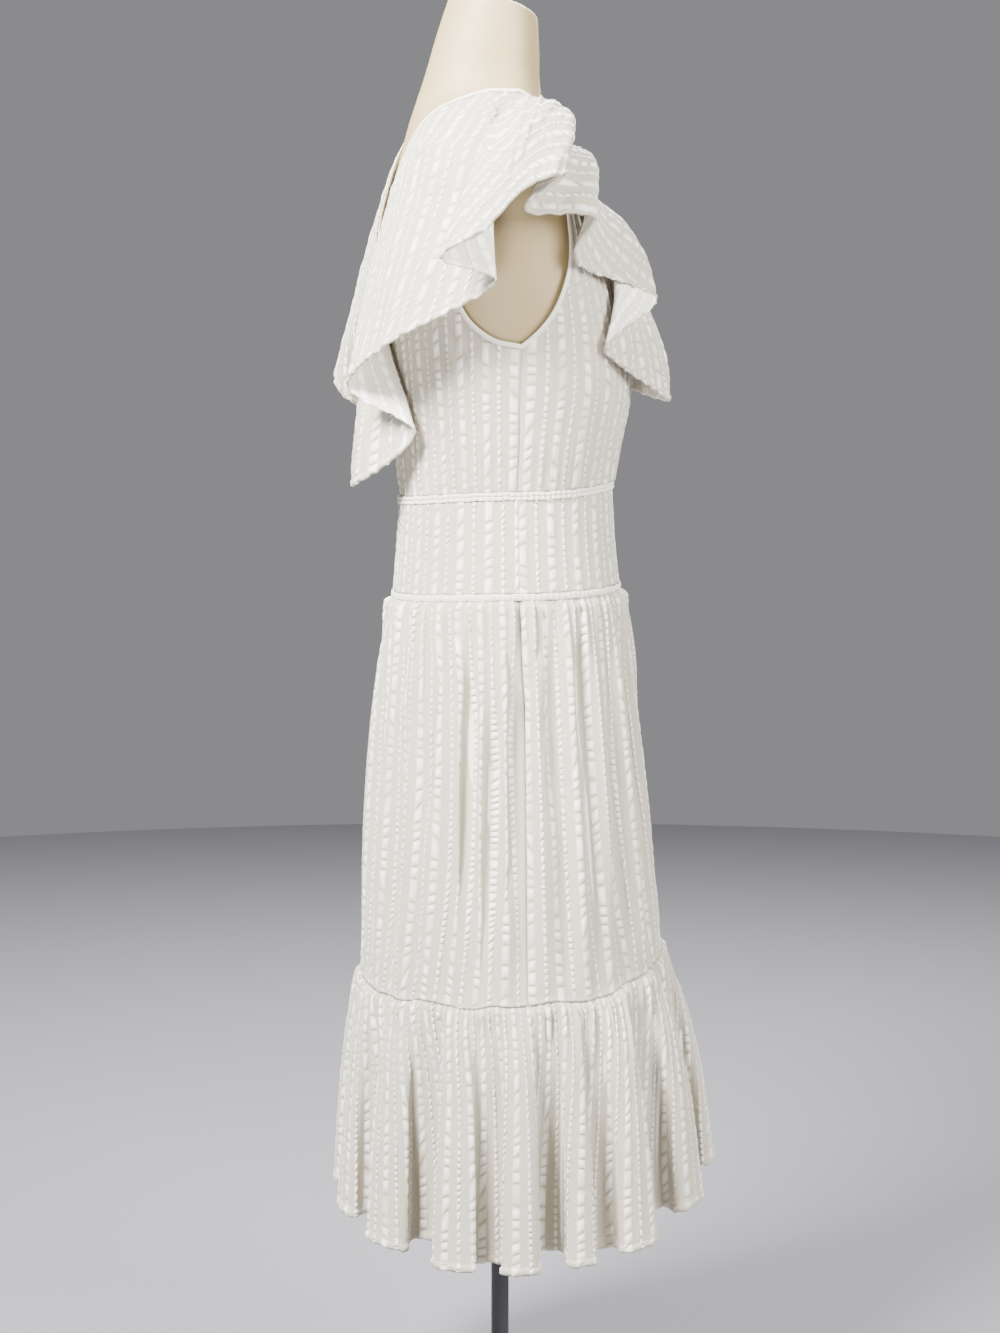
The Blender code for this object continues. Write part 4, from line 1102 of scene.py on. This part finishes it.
def bodice_creases(flat):
    """How far soft folds raise the bodice, from the table."""
    lift = np.zeros(len(flat))
    for turn, z, end_turn, end_z, depth, width in BODICE_CREASES:
        # In millimetres of cloth from the crease's start
        spot, run = (
            np.stack([nearest(at[..., 0] - turn) * BODICE_MM_A_DEGREE, (at[..., 1] - z) / MM], axis=-1)
            for at in (flat, np.array((end_turn, end_z)))
        )
        t = np.clip(spot @ run / (run @ run), 0, 1)
        away = np.linalg.norm(spot - t[:, None] * run, axis=1)
        lift += depth * MM * np.exp(-((away / width) ** 2)) * np.sin(np.pi * (0.12 + 0.88 * t)) ** 0.6
    return lift


def bodice_sheet(facing):
    """(rows of turn and height, grids, edge loop) of one bodice piece: its body, and a strap on each side."""
    half = half_bodice(facing)
    mirror = half * (-1, 1) + ((0, 0) if facing > 0 else (360, 0))
    first, second = (mirror[:, ::-1], half) if facing > 0 else (half[:, ::-1], mirror)
    rows = BODICE_STRAP_ROWS
    lower = np.concatenate([first[rows:], second[rows:, 1:]], axis=1)
    flat = np.concatenate([part.reshape(-1, 2) for part in (lower, first[:rows], second[:rows])])
    body = np.arange(lower.shape[0] * lower.shape[1]).reshape(lower.shape[:2])
    strap = body.size + np.arange(rows * BODICE_COLUMNS).reshape(rows, BODICE_COLUMNS)
    one = np.concatenate([strap, body[:1, :BODICE_COLUMNS]])
    two = np.concatenate([strap + strap.size, body[:1, BODICE_COLUMNS - 1 :]])
    loop = np.concatenate([
        one[0], one[1:, -1], two[-2::-1, 0], two[0, 1:], two[1:, -1], body[1:, -1], body[-1, -2::-1],
        body[-2::-1, 0], one[-2:0:-1, 0],
    ])
    return flat, [body, one, two], loop


def make_bodice_piece(name, facing):
    flat, grids, loop = bodice_sheet(facing)
    turn = flat[:, 0]
    points = on_body(flat)
    at_side = np.minimum(np.abs(turn % 360 - 90), np.abs(turn % 360 - 270)) < 1e-6
    points[:, 1] -= facing * SEAM / 2 * at_side
    above = np.maximum(flat[:, 1] - WAIST_Z - PIPING - GAP, 0)
    across = np.radians(turn) * BODICE_RADIUS
    lift = gathers(across, above, pitch=9.5 * MM, reach=95 * MM, high=2.6 * MM, seed=11.0)
    lift = lift + bodice_creases(flat)
    # The cloth is held closer under the arms
    from_centre = np.abs(nearest(turn)) if facing > 0 else np.abs(turn - 180)
    lift = lift * np.where(from_centre > 60, 0.55, 1.0)
    cloth_piece(
        name, points, (grids, loop), across, -flat[:, 1], lift, 0.9
    )


def ring_cloth(points, grain):
    """(across, down) of a ring-cut length laid flat, from its rows: the stripes run straight on flat cloth.

    Where the hem runs longer than the neck edge, the cut turns by their difference over its depth. grain is
    the angle from the stripes to the cut's depth at its first column, and how far that turns by its last.
    """
    neck, hem = (np.linalg.norm(np.diff(row, axis=0), axis=1) for row in (points[0], points[-1]))
    down = cloth_length(points)
    depth = (down[-1, 1:] + down[-1, :-1]) / 2
    blur = np.hanning(2 * GRAIN_BLUR + 3)[1:-1] / (GRAIN_BLUR + 1)
    step = np.convolve(np.pad((hem - neck) / depth, GRAIN_BLUR, mode="edge"), blur, mode="valid")
    turn = np.concatenate([[0], np.cumsum(step)])
    turn = grain[0] + grain[1] * turn / turn[-1]
    along_cut = np.stack([np.cos(turn), -np.sin(turn)], axis=1)
    into_cut = np.stack([np.sin(turn), np.cos(turn)], axis=1)
    steps = neck[:, None] * (along_cut[1:] + along_cut[:-1]) / 2
    laid = np.concatenate([[[0, 0]], np.cumsum(steps, axis=0)]) + down[..., None] * into_cut
    return laid[..., 0], laid[..., 1]


def from_back(place):
    """Hem rows from the centre back to a place: above zero on the wearer's right, below on the left."""
    return np.mod(place + HEM_ROWS / 2, HEM_ROWS) - HEM_ROWS / 2


def cap_creases(place, share, metres_a_row):
    """How far the long creases over both shoulders raise the flounce."""
    lift = 0.0
    for spot, lean, foot, high, near, far in CAP_CREASES:
        run = ramp(share, 0.02, 0.2) * (1 - ramp(share, foot - 0.2, foot))
        for side in (1, -1):
            away = from_back(place - side * (spot + lean * share)) * side * metres_a_row
            lift = lift + high * MM * np.exp(-((away / np.where(away > 0, near * MM, far * MM)) ** 2)) * run
    return lift


def make_flounce_piece(name, first, last, grain):
    """One length of the flounce, between two of the hem's rows."""
    dense = np.linspace(first, last, 2 * DENSE)
    hung = flounce_at(dense, (0.0, 0.25, 0.5, 0.75, 1.0))
    width, depth = length_of(hung[-1]), float(cloth_length(hung)[-1].mean())
    count = 2 * round(width / FLOUNCE_COLUMN / 2) + 1
    place = along(np.column_stack([hung[-1], dense]), np.linspace(0, 1, count))[:, 3]
    rows = down_shares(depth, FLOUNCE_ROW, FLOUNCE_HEM_WIDTH)
    share = rows[:, None]
    points = flounce_at(place, rows)
    run = np.linspace(0, width, count)
    crinkle = 1.4 * MM * waver(run / (3.1 * MM), 2.0)[:, None] * unit(points[-1] - points[-4])
    points += crinkle * ramp(rows, 0.6, 1.0)[:, None, None]
    first_step, last_step = unit(points[:, 1] - points[:, 0]), unit(points[:, -1] - points[:, -2])
    points[:, 0] += first_step * FLOUNCE_GAP / 4
    points[:, -1] -= last_step * FLOUNCE_GAP / 4
    down = cloth_length(points)
    across, grown = ring_cloth(points, grain)
    run = np.broadcast_to(run, down.shape)
    lift = gathers(run, down, pitch=12.5 * MM, reach=22 * MM, high=1.2 * MM, seed=5.0)
    # The rolled hem ripples, and the cloth above it waves more slowly
    lift = lift + 1.5 * MM * waver(run / (4 * MM), 4.0) * (1 - ramp(down[-1] - down, 0.0, 45 * MM))
    lift = lift + 1.3 * MM * waver(run / (11 * MM) + down / (30 * MM), 9.0) * ramp(down, 10 * MM, 50 * MM)
    lift = lift + cap_creases(place, share, width / (last - first))
    # The cloth is crushed across the crest over each shoulder
    from_crest = np.abs(from_back(place)) - CREST_ROW + 0.5 * share
    crush = np.exp(-((from_crest / 0.8) ** 2)) * ramp(share, 0.0, 0.15)
    lift = lift + 2 * MM * crush * waver(down / (6.2 * MM) + run / (25 * MM), 13.0)
    fade = 0.6 + 0.4 * ramp(down, 6 * MM, 40 * MM)
    sheet, flat = one_grid(*down.shape), (width, depth)
    return cloth_piece(name, points, sheet, across, grown, lift, fade, FLOUNCE_HEM_WIDTH)


# ---------------------------------------------------------------- operators


class DRESS_OT_form(Operator):
    """Makes the smooth dress form"""

    bl_idname = "dress.form"
    bl_label = "Dress form"

    def execute(self, context):
        turn = np.linspace(0, 360, FORM_SIDES, endpoint=False)
        rings = []
        for z in np.linspace(FORM[0, 0], FORM[-1, 0], 150):
            points = torso(turn, np.full(len(turn), z), 0)
            points[:, 2] += FORM_NECK_TILT * float(smooth(z, *FORM_TILT)) * points[:, 1]
            rings.append(points)
        top, foot = rings[-1], rings[0]
        middle = top.mean(axis=0)
        # The top is a low dome
        for angle in np.radians(range(10, 90, 8)):
            rings.append(middle + (top - middle) * math.cos(angle) + (0, 0, FORM_DOME * math.sin(angle)))
        rounded = [foot * (part, part, 1) - (0, 0, drop) for part, drop in FORM_FOOT]
        loft("form_torso", np.array(rounded + rings), "form")
        return {"FINISHED"}


class DRESS_OT_stand(Operator):
    """Makes the stand's base, hub, pole and collar"""

    bl_idname = "dress.stand"
    bl_label = "Stand"

    def execute(self, context):
        edge, low = 4 * MM, BASE_HEIGHT + GAP
        high, top = low + HUB_HEIGHT, FORM_FOOT_Z - FORM_EDGE - GAP
        under = top - COLLAR_HEIGHT
        # Rows of radius and height, from the foot up
        parts = {
            "stand_base": (
                (BASE_RADIUS, 0), (BASE_RADIUS, BASE_HEIGHT - edge / 2), (BASE_RADIUS - edge, BASE_HEIGHT)
            ),
            "stand_hub": ((HUB_RADIUS, low), (HUB_RADIUS, high - edge), (HUB_RADIUS - edge, high)),
            "stand_pole": ((POLE_RADIUS, high + GAP), (POLE_RADIUS, under - GAP)),
            "stand_collar": (
                (COLLAR_RADIUS - edge, under), (COLLAR_RADIUS, under + edge), (COLLAR_RADIUS, top)
            ),
        }
        angles = np.linspace(0, 2 * np.pi, STAND_SIDES, endpoint=False)
        circle = np.column_stack([np.cos(angles), np.sin(angles), 0 * angles])
        for name, profile in parts.items():
            loft(name, np.array([circle * r + (0, 0, z) for r, z in profile]), "stand")
        return {"FINISHED"}


class DRESS_OT_bodice(Operator):
    """Makes the front and back of the fitted bodice"""

    bl_idname = "dress.bodice"
    bl_label = "Bodice"

    def execute(self, context):
        make_bodice_piece("bodice_front", 1)
        make_bodice_piece("bodice_back", -1)
        return {"FINISHED"}


class DRESS_OT_trims(Operator):
    """Makes the bindings, the doubled piping and the strip at the band's foot"""

    bl_idname = "dress.trims"
    bl_label = "Bindings and piping"

    def execute(self, context):
        shares = np.linspace(0, 1, EDGE_POINTS)
        for name, loop, mirror, wide, high, pucker in (
            ("armhole_binding_left", armhole_loop(shares), 1, 0.85, 0.8, 0.06),
            ("armhole_binding_right", armhole_loop(shares), -1, 0.85, 0.8, 0.06),
            ("neck_binding", neckline_loop(shares), 1, 0.7, 0.6, 0.25),
        ):
            normals = body_normal(loop)
            path = (on_body(loop) + normals * BINDING_LIFT) * (mirror, 1, 1)
            cord(name, path, normals * (mirror, 1, 1), BINDING_WIDTH * wide, BINDING_HEIGHT * high, pucker)
        turn = np.linspace(0, 360, RING_POINTS, endpoint=False)
        away = outward(turn)
        for name, share, rise, width, height, out in (
            ("waist_piping_upper", 0.0, PIPING / 2, PIPING, PIPING_HEIGHT, 0.5 * MM),
            ("waist_piping_lower", 0.0, -PIPING / 2, PIPING, PIPING_HEIGHT, 0.5 * MM),
            ("band_foot_strip", 1.0, FOOT_STRIP / 2, FOOT_STRIP, FOOT_STRIP_HEIGHT * 0.75, 0.1 * MM),
        ):
            path = band(turn, share) + away * out + (0, 0, rise)
            cord(name, path, away, width - SEAM, height, pucker=0.6)
        # The strip is the last of them, and is stitched along its middle
        STITCH_LINES.append(path + away * height * 0.52)
        return {"FINISHED"}


class DRESS_OT_band(Operator):
    """Makes the midriff band"""

    bl_idname = "dress.band"
    bl_label = "Midriff band"

    def execute(self, context):
        height = BAND[0, 1] - BAND[-1, 1]
        first, last = PIPING / height, 1 - FOOT_STRIP / height
        make_both("band", band, band_cloth, height * (last - first), first, last, 2.4 * MM, (band, 0.6))
        return {"FINISHED"}


class DRESS_OT_skirt(Operator):
    """Makes the gathered skirt"""

    bl_idname = "dress.skirt"
    bl_label = "Skirt"

    def execute(self, context):
        length = SKIRT[0, 1] - SKIRT[-1, 1]
        cut = SEAM / length
        make_both("skirt", skirt_to_seam, skirt_cloth, length, cut, 1 - cut, 2.4 * MM, (skirt, 1.0))
        return {"FINISHED"}


class DRESS_OT_tier(Operator):
    """Makes the flared tier and its hem"""

    bl_idname = "dress.tier"
    bl_label = "Tier"

    def execute(self, context):
        length = TIER[0, 1] - TIER[-1, 1]
        both = make_both(
            "tier", tier_from_seam, tier_cloth, length, SEAM / length, 1.0, 2.6 * MM, (tier, 1.0), 2 * DENSE,
            TIER_HEM_WIDTH,
        )
        STITCH_LINES.extend(outer[STITCHED_ROW] for outer in both)
        return {"FINISHED"}


class DRESS_OT_flounce(Operator):
    """Makes the two lengths of the flounce round the neckline"""

    bl_idname = "dress.flounce"
    bl_label = "Flounce"

    def execute(self, context):
        seam = FLOUNCE_SEAM_ROW
        for name, first, last, grain in (
            ("flounce_back", -seam, seam, (-0.5, 1.0)),
            ("flounce_front", seam, HEM_ROWS - seam, (0.66, 4.96)),
        ):
            outer = make_flounce_piece(name, first, last, grain)
            STITCH_LINES.append(outer[STITCHED_ROW])
        return {"FINISHED"}


class DRESS_OT_stitches(Operator):
    """Lays running stitches along the hems and the band's strip"""

    bl_idname = "dress.stitches"
    bl_label = "Stitches"

    def execute(self, context):
        if not STITCH_LINES:
            raise RuntimeError("the hems come first: there is no line to stitch")
        mesh = bpy.data.meshes.new("stitch_lines")
        ends = np.cumsum([len(line) for line in STITCH_LINES])
        edges = [(i - 1, i) for i in range(1, ends[-1]) if i not in ends]
        mesh.from_pydata(np.concatenate(STITCH_LINES).tolist(), edges, [])
        lines = bpy.data.objects.new("stitch_lines", mesh)
        context.scene.collection.objects.link(lines)
        group = stitch_group()
        modifier = lines.modifiers.new("Stitches", "NODES")
        modifier.node_group = group
        keys = {item.name: item.identifier for item in group.interface.items_tree if item.in_out == "INPUT"}
        modifier[keys["Pitch"]] = STITCH_PITCH
        modifier[keys["Length"]] = STITCH_LENGTH
        made = bpy.data.meshes.new_from_object(lines.evaluated_get(context.evaluated_depsgraph_get()))
        bpy.data.objects.remove(lines)
        made.materials.clear()
        finished("hem_stitches", made, ("thread",), stands_for_node=False)
        return {"FINISHED"}


def stitch_group():
    """Geometry nodes that lay short threads along every edge path, each turned to its path."""
    group = bpy.data.node_groups.new("Running stitches", "GeometryNodeTree")
    for name, way, kind in (
        ("Geometry", "INPUT", "Geometry"), ("Pitch", "INPUT", "Float"), ("Length", "INPUT", "Float"),
        ("Geometry", "OUTPUT", "Geometry"),
    ):
        group.interface.new_socket(name, in_out=way, socket_type="NodeSocket" + kind)
    lines, pitch, length = node(group, "NodeGroupInput")[:3]
    curve = node(group, "GeometryNodeMeshToCurve", (lines,))[0]
    spaced = node(group, "GeometryNodeResampleCurve", {"Curve": curve, "Length": pitch}, mode="LENGTH")[0]
    size = {"Vertices": 6, "Radius": STITCH_RADIUS, "Depth": length}
    thread = node(group, "GeometryNodeMeshCylinder", size)[0]
    tangent = node(group, "GeometryNodeInputTangent")[0]
    turn = node(group, "FunctionNodeAlignRotationToVector", {"Vector": tangent}, axis="Z")[0]
    each = {"Points": spaced, "Instance": thread, "Rotation": turn}
    laid = node(group, "GeometryNodeInstanceOnPoints", each)[0]
    real = node(group, "GeometryNodeRealizeInstances", (laid,))[0]
    done = node(group, "GeometryNodeSetMaterial", {"Geometry": real, "Material": material("thread")})[:1]
    node(group, "NodeGroupOutput", done)
    return group


class DRESS_OT_stage(Operator):
    """Sets the floor, lights, world and camera"""

    bl_idname = "dress.stage"
    bl_label = "Stage"

    def execute(self, context):
        settings = context.scene.dress_stage
        bpy.ops.mesh.primitive_circle_add(vertices=96, radius=settings.floor_radius, fill_type="NGON")
        floor = context.object
        floor.name = "floor"
        floor.data.materials.append(material("floor"))
        for name, place, aim, size, power in (
            ("key_light", (-1.05, 1.25, 2.5), (0, 0, 1.15), 0.8, settings.key_power),
            ("front_light", (-1.7, -1.8, 2.1), (0, 0, 1.15), 1.4, settings.fill_power * 1.2),
            ("far_light", (2.0, -0.4, 2.6), (0, 0, 1.1), 1.6, settings.fill_power),
        ):
            light = bpy.data.lights.new(name, "AREA")
            light.energy, light.size = power, size
            staged(name, light, place, aim)
        # A soft spot from below reaches the undersides of the ruffles
        light = bpy.data.lights.new("ruffle_light", "SPOT")
        light.energy, light.shadow_soft_size = settings.low_power, 0.35
        light.spot_size, light.spot_blend = math.radians(38), 1.0
        staged("ruffle_light", light, (-1.9, 0.75, 0.45), (-0.15, 0, 1.3))
        # A dim even room, so that the cotton keeps its shading
        world = bpy.data.worlds.new("studio")
        world.use_nodes = True
        world.node_tree.nodes["Background"].inputs[0].default_value = (0.265, 0.265, 0.275, 1)
        context.scene.world = world
        camera = bpy.data.cameras.new("camera")
        camera.sensor_fit, camera.sensor_height, camera.lens = "VERTICAL", 36, 67.5
        place, aim = (-2.6044, 0.3660, 1.113), (-1.61947, 0.22758, 1.00934)
        context.scene.camera = staged("camera", camera, place, aim)
        return {"FINISHED"}


def staged(name, data, place, aim):
    """Adds a light or a camera, turned to look at a point."""
    obj = bpy.data.objects.new(name, data)
    bpy.context.scene.collection.objects.link(obj)
    obj.location = place
    obj.rotation_euler = (Vector(aim) - Vector(place)).to_track_quat("-Z", "Y").to_euler()
    return obj


class DRESS_PT_panel(Panel):
    """Buttons and settings for the dress"""

    bl_idname = "DRESS_PT_panel"
    bl_label = "Seersucker dress"
    bl_space_type = "VIEW_3D"
    bl_region_type = "UI"
    bl_category = "Dress"

    def draw(self, context):
        for operator in OPERATORS:
            self.layout.operator(operator.bl_idname)
        for group, _ in GROUPS:
            settings = getattr(context.scene, group)
            box = self.layout.box()
            for name in settings.bl_rna.properties.keys():
                if name not in ("rna_type", "name"):
                    box.prop(settings, name)


OPERATORS = (
    DRESS_OT_form, DRESS_OT_stand, DRESS_OT_bodice, DRESS_OT_trims, DRESS_OT_band, DRESS_OT_skirt,
    DRESS_OT_tier, DRESS_OT_flounce, DRESS_OT_stitches, DRESS_OT_stage,
)
GROUPS = (
    ("dress_cloth", DRESS_PG_cloth), ("dress_colours", DRESS_PG_colours), ("dress_stage", DRESS_PG_stage),
)


def register():
    for name, group in GROUPS:
        bpy.utils.register_class(group)
        setattr(bpy.types.Scene, name, PointerProperty(type=group))
    for made in (*OPERATORS, DRESS_PT_panel):
        bpy.utils.register_class(made)


def unregister():
    for made in (DRESS_PT_panel, *reversed(OPERATORS)):
        bpy.utils.unregister_class(made)
    for name, group in reversed(GROUPS):
        delattr(bpy.types.Scene, name)
        bpy.utils.unregister_class(group)


def main():
    register()
    for operator in OPERATORS:
        area, name = operator.bl_idname.split(".")
        getattr(getattr(bpy.ops, area), name)()


if __name__ == "__main__":
    main()
